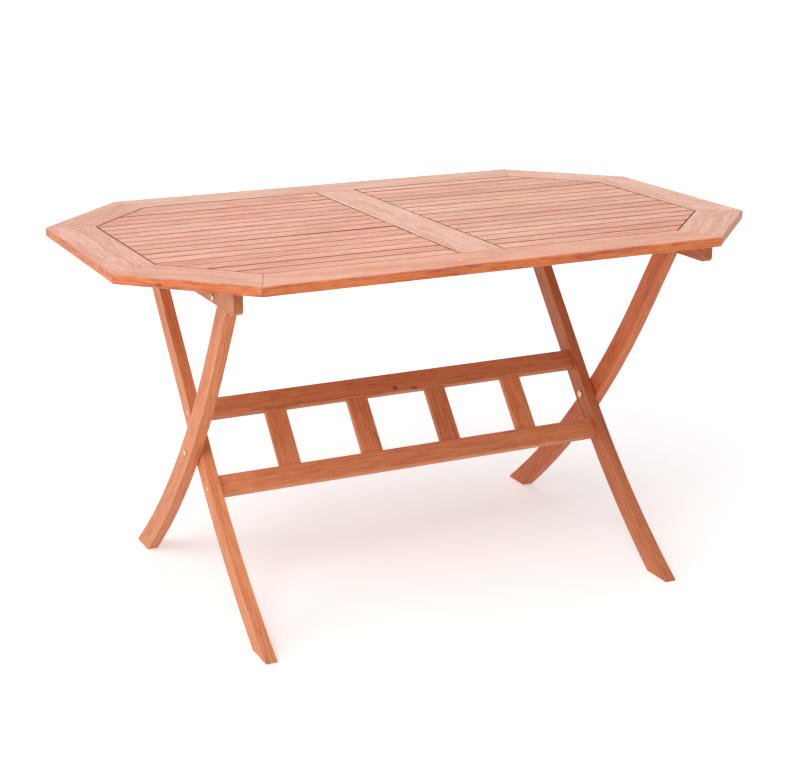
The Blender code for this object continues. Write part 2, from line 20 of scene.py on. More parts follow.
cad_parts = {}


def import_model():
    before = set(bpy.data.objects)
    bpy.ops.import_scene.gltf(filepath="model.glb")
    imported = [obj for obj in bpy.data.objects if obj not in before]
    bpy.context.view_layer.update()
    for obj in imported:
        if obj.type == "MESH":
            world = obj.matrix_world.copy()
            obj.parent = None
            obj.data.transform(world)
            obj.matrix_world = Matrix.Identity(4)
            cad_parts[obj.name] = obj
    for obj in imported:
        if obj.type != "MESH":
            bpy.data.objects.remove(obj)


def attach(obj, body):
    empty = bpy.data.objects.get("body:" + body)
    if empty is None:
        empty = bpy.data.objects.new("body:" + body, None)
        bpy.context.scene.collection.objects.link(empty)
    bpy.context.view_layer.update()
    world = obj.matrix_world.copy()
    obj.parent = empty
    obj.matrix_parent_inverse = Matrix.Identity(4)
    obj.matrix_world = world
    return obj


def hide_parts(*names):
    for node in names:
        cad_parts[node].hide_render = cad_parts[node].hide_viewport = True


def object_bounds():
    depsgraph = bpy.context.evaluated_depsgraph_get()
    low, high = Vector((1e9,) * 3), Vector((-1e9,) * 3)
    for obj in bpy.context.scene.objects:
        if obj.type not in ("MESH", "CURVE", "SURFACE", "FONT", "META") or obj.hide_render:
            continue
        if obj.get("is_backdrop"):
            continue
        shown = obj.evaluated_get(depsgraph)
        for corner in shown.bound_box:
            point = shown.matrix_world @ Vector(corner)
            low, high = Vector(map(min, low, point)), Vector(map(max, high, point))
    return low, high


LOG = logging.getLogger("garden_table")
Triple = tuple[float, float, float]
Colour = Triple
Outline = list[Vector]
Socket = bpy.types.NodeSocket
Piece = bpy.types.Object
Material = bpy.types.Material
Operator = Callable[["Value", "Value | float"], "Value"]
Darkening = Callable[[Vector], float]
AXIS_X, AXIS_Y, AXIS_Z = Vector((1, 0, 0)), Vector((0, 1, 0)), Vector((0, 0, 1))
WHITE = (1.0, 1.0, 1.0, 1.0)
IMAGE_WIDTH = 800
CLEARANCE = 0.0003
HEXAGON_SECTOR = math.pi / 3
# Points closer than the first of these are one point, and lengths below the second are nothing.
SAME_PLACE, TINY = 0.00001, 0.000001
# A surface is flat where the cosine between its normal and an axis of its board reaches the
# first of these, and all arris where it is lower by the second.
FACE_COSINE, ARRIS_SPAN = 0.97, 0.26
# Two faces that meet more sharply than this, in degrees, keep a sharp edge in the shading.
SHARP_FROM = 38.0


class Side(Enum):
    """The two ends of the table, as seen from the front."""

    LEFT = -1
    RIGHT = 1

    @property
    def label(self) -> str:
        """The word that node names carry for this side."""
        return self.name.lower()


class Body(Enum):
    """The bodies that move as one."""

    OUTER_FRAME = "outer_legs"
    TOP = "tabletop"
    INNER_FRAME = "inner_legs"


class Slot(Enum):
    """The record's material slots."""

    TOP_WOOD = "top_wood"
    FRAME_WOOD = "frame_wood"
    BRASS = "brass"


# Node trees


def operators(operation: str) -> tuple[Operator, Operator]:
    """A Math operation as an operator, and as its form for operands the other way round."""
    return (lambda value, other: value.graph.math(operation, value, other),
            lambda value, other: value.graph.math(operation, other, value))


class Value:
    """A number that varies over a surface: one socket, with Python's own operators.

    A comparison gives 1 where it holds, and else 0.
    """

    __add__, __radd__ = operators("ADD")
    __sub__, __rsub__ = operators("SUBTRACT")
    __mul__, __rmul__ = operators("MULTIPLY")
    __truediv__, __rtruediv__ = operators("DIVIDE")
    __pow__, __rpow__ = operators("POWER")
    __gt__, __lt__ = operators("GREATER_THAN")

    def __init__(self, graph: Graph, socket: Socket) -> None:
        """Wrap an output socket of a graph."""
        self.graph = graph
        self.socket = socket

    def __abs__(self) -> Value:
        """The value without its sign."""
        return self.graph.math("ABSOLUTE", self)


Feed = Value | Socket | float | int | bool | str | tuple


class Graph:
    """A node tree that is being built, of a material, of the world or of Geometry Nodes."""

    def __init__(self, tree: bpy.types.NodeTree) -> None:
        """Take over an empty tree."""
        self.tree = tree

    def node(self, kind: str, settings: dict | None = None,
             feeds: dict[str | int, Feed] | None = None) -> bpy.types.Node:
        """Add a node.

        Args:
            kind: The node's type.
            settings: Its own settings, which are set first.
            feeds: What each input gets, by name or number: a link or a plain value.

        Returns:
            The new node.
        """
        made = self.tree.nodes.new(kind)
        for name, value in (settings or {}).items():
            setattr(made, name, value)
        for key, value in (feeds or {}).items():
            self.feed(made.inputs[key], value)
        return made

    def feed(self, socket: Socket, value: Feed) -> None:
        """Link a socket to another one, or set its own value.

        Args:
            socket: The input.
            value: What it gets: a link or a plain value.
        """
        if isinstance(value, Value):
            self.tree.links.new(value.socket, socket)
        elif isinstance(value, Socket):
            self.tree.links.new(value, socket)
        else:
            socket.default_value = value

    def value(self, node: bpy.types.Node, output: str | int = 0) -> Value:
        """Wrap one output of a node."""
        return Value(self, node.outputs[output])

    def math(self, operation: str, *terms: Value | float) -> Value:
        """Add a Math node on up to three terms."""
        return self.value(self.node("ShaderNodeMath", {"operation": operation},
                                    dict(enumerate(terms))))

    def step(self, value: Value, low: float, high: float) -> Value:
        """A smooth step from 0 at low to 1 at high."""
        return self.value(self.node("ShaderNodeMapRange", {"interpolation_type": "SMOOTHSTEP"},
                                    {"Value": value, "From Min": low, "From Max": high}))

    def mix(self, share: Value | float, first: Feed, second: Feed) -> Socket:
        """Mix two colours by a share."""
        settings = {"data_type": "RGBA", "clamp_factor": True}
        return self.node("ShaderNodeMix", settings, {0: share, 6: first, 7: second}).outputs[2]

    def vector(self, operation: str, first: Feed, second: Feed) -> Socket:
        """Add a Vector Math node on two vectors."""
        return self.node("ShaderNodeVectorMath", {"operation": operation},
                         {0: first, 1: second}).outputs[0]

    def scale(self, vector: Feed, factor: Value | float) -> Socket:
        """Make a vector or a colour larger by a factor."""
        return self.node("ShaderNodeVectorMath", {"operation": "SCALE"},
                         {0: vector, "Scale": factor}).outputs[0]

    def combine(self, x: Feed, y: Feed, z: Feed) -> Socket:
        """Put three numbers together as a vector."""
        return self.node("ShaderNodeCombineXYZ", None, {0: x, 1: y, 2: z}).outputs[0]

    def parts(self, vector: Socket) -> tuple[Value, Value, Value]:
        """Take a vector apart into three numbers."""
        node = self.node("ShaderNodeSeparateXYZ", None, {0: vector})
        return self.value(node, 0), self.value(node, 1), self.value(node, 2)

    def length(self, vector: Feed) -> Value:
        """The length of a vector."""
        return self.value(self.node("ShaderNodeVectorMath", {"operation": "LENGTH"},
                                    {0: vector}), "Value")

    def noise(self, place: Socket, pattern: Pattern) -> Value:
        """Noise of a pattern, from 0 to 1.

        Args:
            place: Where the noise is read.
            pattern: The noise's grain.

        Returns:
            The noise.
        """
        stretched = self.vector("MULTIPLY", place, pattern.stretch)
        return self.value(self.node("ShaderNodeTexNoise", None, {
            "Vector": stretched, "Scale": 1.0, "Detail": pattern.detail,
            "Roughness": pattern.roughness}))

    def mask(self, place: Socket, pattern: Pattern) -> Value:
        """Noise as a mask: 0 up to the pattern's low level, and 1 from its high one on."""
        return self.step(self.noise(place, pattern), pattern.low, pattern.high)

    def attribute(self, name: str) -> Value:
        """A number that the mesh stores by name."""
        return self.value(self.node("ShaderNodeAttribute", {"attribute_name": name}), "Fac")

    def coordinate(self, name: str) -> Socket:
        """A coordinate of the surface, by its name."""
        return self.node("ShaderNodeTexCoord").outputs[name]

    def bump(self, height: Value, strength: float, distance: float) -> Socket:
        """The normal of a surface with fine relief, its full height being distance."""
        return self.node("ShaderNodeBump", None, {
            "Strength": strength, "Distance": distance, "Height": height}).outputs["Normal"]

    def shader(self, kind: str, feeds: dict[str | int, Feed]) -> Socket:
        """The shader that a node gives, by the end of its type."""
        return self.node(f"ShaderNode{kind}", None, feeds).outputs[0]

    def choose(self, share: Value, first: Feed, second: Feed) -> Socket:
        """The first shader where a share is 0, and the second where it is 1."""
        return self.shader("MixShader", {0: share, 1: first, 2: second})

    def surface(self, shader: Socket) -> None:
        """End a material in a shader."""
        self.node("ShaderNodeOutputMaterial", None, {"Surface": shader})


def paint(colour: Colour) -> tuple[float, float, float, float]:
    """A colour as a colour socket takes it."""
    return (*colour, 1.0)


def darker(colour: Colour, share: float) -> Colour:
    """A colour with only a share of its light."""
    return tuple(share * part for part in colour)


def new_material(name: str) -> tuple[Material, Graph]:
    """Make a material with an empty node tree.

    Args:
        name: The material's name.

    Returns:
        The material, and its tree as a graph.
    """
    material = bpy.data.materials.new(name)
    material.use_nodes = True
    material.node_tree.nodes.clear()
    return material, Graph(material.node_tree)


# Finishes


@dataclass(frozen=True)
class Pattern:
    """Noise, and the levels between which it turns into a mask.

    Its stretch says how often it changes per metre: along, across and through the grain, or
    along X, Y and Z.
    """

    stretch: Triple
    detail: float = 2.0
    roughness: float = 0.5
    low: float = 0.0
    high: float = 1.0


PORES = Pattern((60.0, 1700.0, 1700.0), detail=1.0, low=0.58, high=0.72)
STREAKS = Pattern((20.0, 300.0, 300.0), detail=3.0, roughness=0.62)
FINE_GRAIN = Pattern((48.0, 1000.0, 1000.0))
CLOUDS = Pattern((5.0, 30.0, 30.0), detail=3.0)
FLAMES = Pattern((6.0, 85.0, 60.0), detail=3.0, low=0.56, high=0.74)
DRIFT = Pattern((1.6, 9.0, 9.0))
RIPPLE = Pattern((7.0, 24.0, 24.0))
PLAIN_RINGS = Pattern((4.0, 26.0, 26.0), low=0.35, high=0.65)
WORN_AND_HIGHLIT_PATCHES = Pattern((30.0, 120.0, 120.0), low=0.30, high=0.62)
SPARED_PATCHES = Pattern((3.0, 36.0, 36.0), low=0.42, high=0.70)
KNOT_RIM = Pattern((260.0, 260.0, 260.0))
TARNISH = Pattern((260.0, 260.0, 260.0), detail=3.0, low=0.40, high=0.68)
SCRATCHES = Pattern((900.0, 3200.0, 1400.0))


@dataclass(frozen=True)
class Knot:
    """A small knot: its middle on the surface and its half sizes, in the table's frame."""

    place: Triple
    size: Triple


@dataclass(frozen=True)
class WoodFinish:
    """Oiled hardwood: short streaks, growth rings, pores, and arrises rubbed paler, with a painted
    highlight.

    It reads five attributes of a mesh: grain, the place within the board with X along the grain;
    tone, from -1 for a dark board to 1 for a pale one, set low on a few pieces as painted shade;
    warmth, 1 for a board that kept more of its red than the others, which on a few pieces paints
    warm light bounced into shade; arris, 1 on a rounded edge; and seam, 1 where a surface faces a
    gap, darkened by grime and painted shade, and 2 in the narrow seams, darker still.
    """

    name: str
    pale: Colour
    middle: Colour
    dark: Colour
    bleached: Colour
    sunned: Colour
    bleach: float
    contrast: float
    flames: float
    roughness: float
    gloss: float
    # Colour in the gaps: grime and painted shade; the next share darkens the narrow seams further,
    # as deeper painted shade.
    gap: Colour = (0.30, 0.046, 0.011)
    dirt: float = 0.60
    wear: float = 0.38
    pore_stain: float = 0.30
    tone_step: float = 0.065
    green_loss: float = 0.12
    blue_loss: float = 0.20
    spared: float = 0.22
    pith: tuple[float, float] = (0.055, 0.095)
    rings_per_metre: float = 190.0
    relief: float = 0.0003
    shares: tuple[float, float, float, float] = (0.42, 0.80, 0.34, 0.40)
    seam_cover: float = 0.90
    knots: tuple[Knot, ...] = ()

    def material(self) -> Material:
        """Build the material.

        Returns:
            The material.
        """
        material, graph = new_material(self.name)
        grain = graph.node("ShaderNodeAttribute", {"attribute_name": "grain"}).outputs["Vector"]
        tone, warmth, arris, seam = (
            graph.attribute(name) for name in ("tone", "warmth", "arris", "seam"))
        figure, streaks, fine = self._figure(graph, grain)
        pores = graph.mask(grain, PORES)
        colour = self._oiled(graph, grain, figure)
        colour = self._faded(graph, grain, colour, figure)
        # Rounded edges paled partly by rubbing and partly as a painted highlight.
        worn_and_highlit = arris * graph.mask(grain, WORN_AND_HIGHLIT_PATCHES) * self.wear
        colour = graph.mix(worn_and_highlit, colour, paint(self.bleached))
        colour = graph.mix(pores * self.pore_stain, colour, paint(self.dark))
        colour = graph.scale(colour, 1.0 + tone * self.tone_step)
        colour = graph.vector("MULTIPLY", colour, graph.combine(
            1.0, 1.0 - warmth * self.green_loss, 1.0 - warmth * self.blue_loss))
        colour = self._add_knots(graph, colour)
        # Grime and painted shade where surfaces face the gaps between pieces.
        shadow = graph.mix(graph.step(seam, 1.0, 2.0), paint(self.gap),
                           paint(darker(self.gap, self.dirt)))
        colour = graph.mix(seam * self.seam_cover, colour, shadow)
        rough = self.roughness + (0.5 - figure) * 0.16 + pores * 0.12 - arris * 0.05
        rough = rough + graph.math("MINIMUM", seam, 1.0) * 0.45
        normal = graph.bump(streaks * 0.5 + fine * 0.35 - pores * 0.7, 0.35, self.relief)
        graph.surface(graph.shader("BsdfPrincipled", {
            "Base Color": colour, "Roughness": rough, "IOR": 1.46,
            "Specular IOR Level": self.gloss, "Normal": normal}))
        return material

    def _figure(self, graph: Graph, grain: Socket) -> tuple[Value, Value, Value]:
        """The wood's figure: growth rings, streaks, fine grain and clouds.

        Args:
            graph: The material's tree.
            grain: The place within the board.

        Returns:
            The figure, 0 to 1, and the streaks and the fine grain that are in it.
        """
        drift, ripple = graph.noise(grain, DRIFT) - 0.5, graph.noise(grain, RIPPLE) - 0.5
        bent = graph.vector("ADD", grain, graph.combine(
            0.0, drift * 0.020 + ripple * 0.007, drift * 0.014 + ripple * 0.005))
        _, across, through = graph.parts(bent)
        to_pith = ((across + self.pith[0]) ** 2 + (through + self.pith[1]) ** 2) ** 0.5
        rings = graph.value(graph.node("ShaderNodeTexNoise", {"noise_dimensions": "1D"}, {
            "W": to_pith * self.rings_per_metre, "Scale": 1.0, "Detail": 2.0,
            "Roughness": 0.55}))
        rings = (rings - 0.5) * (0.35 + graph.mask(grain, PLAIN_RINGS) * 0.65)
        streaks, fine = graph.noise(bent, STREAKS), graph.noise(bent, FINE_GRAIN)
        ring_share, streak_share, fine_share, cloud_share = self.shares
        figure = rings * ring_share + (streaks - 0.5) * streak_share + (fine - 0.5) * fine_share
        clouds = (graph.noise(grain, CLOUDS) - 0.5) * cloud_share
        return 0.5 + (figure + clouds) * self.contrast, streaks, fine

    def _oiled(self, graph: Graph, grain: Socket, figure: Value) -> Socket:
        """The oiled wood's colour, before sun and wear, with a few darker flames.

        Args:
            graph: The material's tree.
            grain: The place within the board.
            figure: The wood's figure.

        Returns:
            The colour.
        """
        ramp = graph.node("ShaderNodeValToRGB", None, {"Fac": figure})
        stops = ((0.33, self.dark), (0.50, self.middle), (0.68, self.pale))
        ramp.color_ramp.elements.new(1.0)
        for element, (place, colour) in zip(ramp.color_ramp.elements, stops):
            element.position, element.color = place, paint(colour)
        return graph.mix(graph.mask(grain, FLAMES) * self.flames, ramp.outputs["Color"],
                         paint(self.dark))

    def _faded(self, graph: Graph, grain: Socket, colour: Socket, figure: Value) -> Socket:
        """Pale the surfaces that face the sky, unevenly: sun bleaching and a painted sheen.

        Args:
            graph: The material's tree.
            grain: The place within the board.
            colour: The oiled wood's colour.
            figure: The wood's figure.

        Returns:
            The new colour.
        """
        # Upward faces paled partly by sun bleaching and partly as a painted sheen of the white
        # sky.
        upward = graph.step(graph.parts(graph.coordinate("Normal"))[2], 0.55, 0.98)
        sheen_pink = graph.mix(graph.step(figure, 0.34, 0.66), paint(self.sunned),
                         paint(self.bleached))
        spared = graph.mask(grain, SPARED_PATCHES) * self.spared
        return graph.mix(upward * (self.bleach - spared), colour, sheen_pink)

    def _add_knots(self, graph: Graph, colour: Socket) -> Socket:
        """Draw the knots: each is a dark rim round a paler heart, in a soft halo.

        Args:
            graph: The material's tree.
            colour: The wood's colour.

        Returns:
            The colour with the knots in it.
        """
        place = graph.coordinate("Object")
        rough = (graph.noise(place, KNOT_RIM) - 0.5) * 0.5
        for knot in self.knots:
            away = graph.vector("SUBTRACT", place, knot.place)
            reach = graph.length(graph.vector("DIVIDE", away, knot.size)) + rough
            halo = 1.0 - graph.step(reach, 0.7, 2.4)
            rim = graph.step(reach, 0.15, 0.55) * (1.0 - graph.step(reach, 0.75, 1.25))
            colour = graph.mix(halo * 0.40, colour, paint(self.dark))
            colour = graph.mix(rim * 0.80, colour, paint(darker(self.dark, 0.30)))
        return colour


@dataclass(frozen=True)
class BrassFinish:
    """Turned brass that has dulled a little, with fine scratches."""

    name: str
    bright: Colour
    dull: Colour
    roughness: float
    relief: float = 0.0001

    def material(self) -> Material:
        """Build the material.

        Returns:
            The material.
        """
        material, graph = new_material(self.name)
        place = graph.coordinate("Object")
        tarnish, scratches = graph.noise(place, TARNISH), graph.noise(place, SCRATCHES)
        dulled = graph.step(tarnish, TARNISH.low, TARNISH.high)
        graph.surface(graph.shader("BsdfPrincipled", {
            "Base Color": graph.mix(dulled, paint(self.bright), paint(self.dull)),
            "Metallic": 1.0, "Roughness": self.roughness + tarnish * 0.18 + scratches * 0.08,
            "Normal": graph.bump(scratches, 0.12, self.relief)}))
        return material


TOP_WOOD = WoodFinish(
    name="sun_bleached_top_wood", pale=(0.88, 0.258, 0.050), middle=(0.78, 0.192, 0.030),
    dark=(0.48, 0.095, 0.025), bleached=(0.88, 0.538, 0.420), sunned=(0.70, 0.345, 0.240),
    bleach=0.92, contrast=1.15, flames=0.40, roughness=0.50, gloss=0.5, knots=(
        Knot((-0.6110, -0.2920, 0.7262), (0.0050, 0.0050, 0.0030)),))
FRAME_WOOD = WoodFinish(
    name="oiled_frame_wood", pale=(0.84, 0.355, 0.170), middle=(0.75, 0.265, 0.107),
    dark=(0.43, 0.110, 0.043), bleached=(0.86, 0.440, 0.280), sunned=(0.66, 0.270, 0.150),
    bleach=0.35, contrast=0.62, flames=0.20, roughness=0.48, gloss=0.35, knots=(
        Knot((-0.0020, 0.0322, 0.3713), (0.0048, 0.0048, 0.0040)),
        Knot((0.0420, 0.0300, 0.3660), (0.0060, 0.0040, 0.0020))))
BRASS = BrassFinish(name="dulled_brass", bright=(0.83, 0.69, 0.44), dull=(0.60, 0.45, 0.25),
                    roughness=0.24)


# Flat outlines


def clip(outline: Outline, normal: Vector, distance: float) -> Outline:
    """Cut a convex outline along a straight line.

    Args:
        outline: The outline.
        normal: Unit normal of the line, towards what is cut off.
        distance: The line's distance from the origin, along the normal.

    Returns:
        The part that is kept.
    """
    kept = []
    for index, point in enumerate(outline):
        previous = outline[index - 1]
        depth = normal.dot(point) - distance
        previous_depth = normal.dot(previous) - distance
        if (depth > 0) != (previous_depth > 0):
            kept.append(previous.lerp(point, previous_depth / (previous_depth - depth)))
        if depth <= 0:
            kept.append(point)
    return kept


def ray(angle: float) -> Vector:
    """The flat unit vector at an angle in radians."""
    return Vector((math.cos(angle), math.sin(angle)))


def left_of(way: Vector) -> Vector:
    """A flat vector, turned a quarter turn to the left."""
    return Vector((-way.y, way.x))


def arc(middle: Vector, radius: float, start: float, end: float, steps: int) -> Outline:
    """Points along an arc, with its angles in degrees."""
    angles = [math.radians(start + (end - start) * step / steps) for step in range(steps + 1)]
    return [middle + radius * ray(angle) for angle in angles]


def fillet(outline: Outline, index: int, radius: float, steps: int) -> Outline:
    """Replace one corner of an outline by an arc that meets both its sides.

    Args:
        outline: The outline.
        index: Number of the corner.
        radius: Radius of the arc.
        steps: How many straight steps it is made of.

    Returns:
        The new outline.
    """
    corner = outline[index]
    before = (outline[index - 1] - corner).normalized()
    after = (outline[(index + 1) % len(outline)] - corner).normalized()
    half = before.angle(after) / 2
    middle = corner + (before + after).normalized() * radius / math.sin(half)
    start = corner + before * radius / math.tan(half) - middle
    end = corner + after * radius / math.tan(half) - middle
    turn = -start.angle_signed(end)
    points = []
    for step in range(steps + 1):
        turned_by = ray(turn * step / steps)
        points.append(middle + turned_by.x * start + turned_by.y * left_of(start))
    return outline[:index] + points + outline[index + 1:]


def inset(outline: Outline, depth: float) -> Outline:
    """Move every side of a counterclockwise outline inwards.

    Args:
        outline: The outline.
        depth: How far its sides move.

    Returns:
        The smaller outline.
    """
    moved = []
    for index, point in enumerate(outline):
        before = (point - outline[index - 1]).normalized()
        after = (outline[(index + 1) % len(outline)] - point).normalized()
        first, second = left_of(before), left_of(after)
        moved.append(point + depth * (first + second) / (1.0 + first.dot(second)))
    return moved


def rounded_section(width: float, thickness: float, radii: Sequence[float],
                    steps: int = 4) -> Outline:
    """Draw a board's end with rounded corners.

    Args:
        width: The board's width.
        thickness: Its thickness.
        radii: Radius of each corner, from the lower left one, counterclockwise.
        steps: How many straight steps each corner is made of.

    Returns:
        The outline, which starts at the lower left corner.
    """
    points = []
    for number, (sign_x, sign_y) in enumerate(((-1, -1), (1, -1), (1, 1), (-1, 1))):
        radius = radii[number]
        middle = Vector((sign_x * (width / 2 - radius), sign_y * (thickness / 2 - radius)))
        points += arc(middle, radius, 180 + 90 * number, 270 + 90 * number, steps)
    return points


# Solid pieces


@dataclass(frozen=True)
class Axes:
    """A board's own frame: along the grain, across the board's face, and through the board."""

    origin: Vector
    along: Vector
    across: Vector
    through: Vector

    def world(self, run: float, across: float, through: float) -> Vector:
        """The table's coordinates of a point of the board."""
        return self.origin + run * self.along + across * self.across + through * self.through

    def local(self, point: Vector) -> Vector:
        """The board's coordinates of a point of the table."""
        return self.turned(point - self.origin)

    def turned(self, way: Vector) -> Vector:
        """A direction of the table in the board's own axes."""
        return Vector((way.dot(self.along), way.dot(self.across), way.dot(self.through)))

    def edge_share(self, normal: Vector) -> float:
        """How far a surface turns away from the board's faces: 0 on them and 1 on an arris."""
        most = max(abs(normal.dot(axis)) for axis in (self.along, self.across, self.through))
        return share_between(FACE_COSINE - most, 0.0, ARRIS_SPAN)


def put_in_scene(name: str, shape: bpy.types.ID) -> Piece:
    """Make an object of a mesh, lamp or camera, and put it in the scene.

    Args:
        name: The object's name.
        shape: The mesh, lamp or camera.

    Returns:
        The object.
    """
    made = bpy.data.objects.new(name, shape)
    bpy.context.scene.collection.objects.link(made)
    return made


def close(shell: bmesh.types.BMesh, name: str) -> Piece:
    """Turn a closed shell's faces outwards and make it an object of the scene.

    Args:
        shell: The shell, which is freed.
        name: The object's name.

    Returns:
        The object, at the origin.
    """
    bmesh.ops.remove_doubles(shell, verts=shell.verts, dist=TINY)
    bmesh.ops.recalc_face_normals(shell, faces=shell.faces)
    if shell.calc_volume(signed=True) < 0:
        bmesh.ops.reverse_faces(shell, faces=shell.faces)
    mesh = bpy.data.meshes.new(name)
    shell.to_mesh(mesh)
    shell.free()
    return put_in_scene(name, mesh)


def skin(shell: bmesh.types.BMesh, rings: Sequence[Sequence[Vector]]) -> None:
    """Join rings of as many points each by faces, and close both ends.

    Args:
        shell: The shell that gets the faces.
        rings: The rings, with as many points each.
    """
    loops = [[shell.verts.new(point) for point in ring] for ring in rings]
    for lower, upper in zip(loops, loops[1:]):
        for index in range(len(lower)):
            shell.faces.new((lower[index - 1], lower[index], upper[index], upper[index - 1]))
    shell.faces.new(loops[0][::-1])
    shell.faces.new(loops[-1])


def bar(name: str, axes: Axes, section: Outline, ends: Callable[[float], tuple[float, float]],
        chamfer: float) -> Piece:
    """A straight piece of one section, its ends eased by a chamfer.

    Args:
        name: The object's name.
        axes: The piece's own frame.
        section: Outline across the piece.
        ends: Where the piece starts and ends along its grain, at a place across it.
        chamfer: Size of the eased edge at the ends.

    Returns:
        The object.
    """
    eased = inset(section, chamfer)
    rings = []
    for outline, which, room in ((eased, 0, 0.0), (section, 0, chamfer),
                                 (section, 1, -chamfer), (eased, 1, 0.0)):
        rings.append([axes.world(ends(point.x)[which] + room, point.x, point.y)
                      for point in outline])
    shell = bmesh.new()
    skin(shell, rings)
    return close(shell, name)


def settle(piece: Piece) -> Piece:
    """Keep flat faces flat in the shading beside rounded edges, and leave a plain mesh.

    Args:
        piece: The piece.

    Returns:
        The same piece, without modifiers.
    """
    piece.data.polygons.foreach_set("use_smooth", [True] * len(piece.data.polygons))
    piece.data.set_sharp_from_angle(angle=math.radians(SHARP_FROM))
    weighted = piece.modifiers.new("flat_faces", "WEIGHTED_NORMAL")
    weighted.keep_sharp = True
    return bake_down(piece)


def bake_down(piece: Piece) -> Piece:
    """Replace a piece's mesh by what its modifiers make of it, and take them off.

    Args:
        piece: The piece.

    Returns:
        The same piece.
    """
    graph = bpy.context.evaluated_depsgraph_get()
    mesh = bpy.data.meshes.new_from_object(
        piece.evaluated_get(graph), preserve_all_data_layers=True, depsgraph=graph)
    old = piece.data
    piece.modifiers.clear()
    piece.data = mesh
    bpy.data.meshes.remove(old)
    mesh.name = piece.name
    return piece


def share_between(value: float, low: float, high: float) -> float:
    """0 up to low, 1 from high on, and straight between them."""
    return min(1.0, max(0.0, (value - low) / (high - low)))


@dataclass(frozen=True)
class Shade:
    """How pale a whole board is, about -1 to 1, and how much more red than others it kept; on a
    few pieces these are painted shade and painted bounce light.
    """

    tone: float
    warmth: float = 0.0


def end_grain(way: Vector) -> float:
    """How far end grain, which drinks more oil, is darkened, for a way of a board's axes."""
    return 0.30 * share_between(abs(way.x), 0.70, 0.95)


def seam_edge(facing: float) -> float:
    """How far an edge beside a seam gets grime and painted shade, from how far it faces the seam.
    """
    return 2.0 * share_between(facing, 0.40, 0.75)


def mark_wood(piece: Piece, locate: Callable[[Vector], tuple[Vector, Axes]],
              hidden: Darkening = end_grain, shade: Shade | None = None) -> None:
    """Give a wooden piece the attributes that its finish reads.

    Args:
        piece: The piece, with a plain mesh.
        locate: Gives a point's place within the board, and the board's axes there.
        hidden: How far a surface that faces a way of the board's own axes is darkened.
        shade: The whole board's shade, or None for a chance tone.
    """
    mesh, count = piece.data, len(piece.data.vertices)
    dice = random.Random(zlib.crc32(piece.name.encode()))
    shift = Vector((dice.uniform(2, 60), dice.uniform(-0.04, 0.04), dice.uniform(-0.03, 0.03)))
    shade = shade or Shade(dice.uniform(-1, 1))
    grain, arrises, seams = [], [], []
    for vertex in mesh.vertices:
        place, axes = locate(vertex.co)
        grain += list(place + shift)
        arrises.append(axes.edge_share(vertex.normal))
        seams.append(hidden(axes.turned(vertex.normal)))
    mesh.attributes.new("grain", "FLOAT_VECTOR", "POINT").data.foreach_set("vector", grain)
    for name, values in (("arris", arrises), ("seam", seams), ("tone", [shade.tone] * count),
                         ("warmth", [shade.warmth] * count)):
        mesh.attributes.new(name, "FLOAT", "POINT").data.foreach_set("value", values)


def mark_straight(piece: Piece, axes: Axes, hidden: Darkening = end_grain,
                  shade: Shade | None = None) -> None:
    """Mark a straight board as mark_wood does, with the same axes all over it."""
    mark_wood(piece, lambda point: (axes.local(point), axes), hidden, shade)


def hand_over(piece: Piece, body: Body, slot: Slot, material: Material,
              nodes: Sequence[str] = ()) -> None:
    """Finish a piece, hang it on its body and say which frame nodes it stands for.

    Args:
        piece: The piece, with a plain mesh.
        body: The body that it moves with.
        slot: The record's slot that its finish belongs to; not used.
        material: The finish's material.
        nodes: The frame nodes that it replaces.
    """
    piece.data.materials.clear()
    piece.data.materials.append(material)
    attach(piece, body.value)
    if nodes:
        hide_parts(*nodes)
    LOG.info("%s: %d faces on %s, for %s", piece.name, len(piece.data.polygons), body.value,
             ", ".join(nodes) if 0 < len(nodes) < 4 else f"{len(nodes)} nodes")


# Geometry Nodes


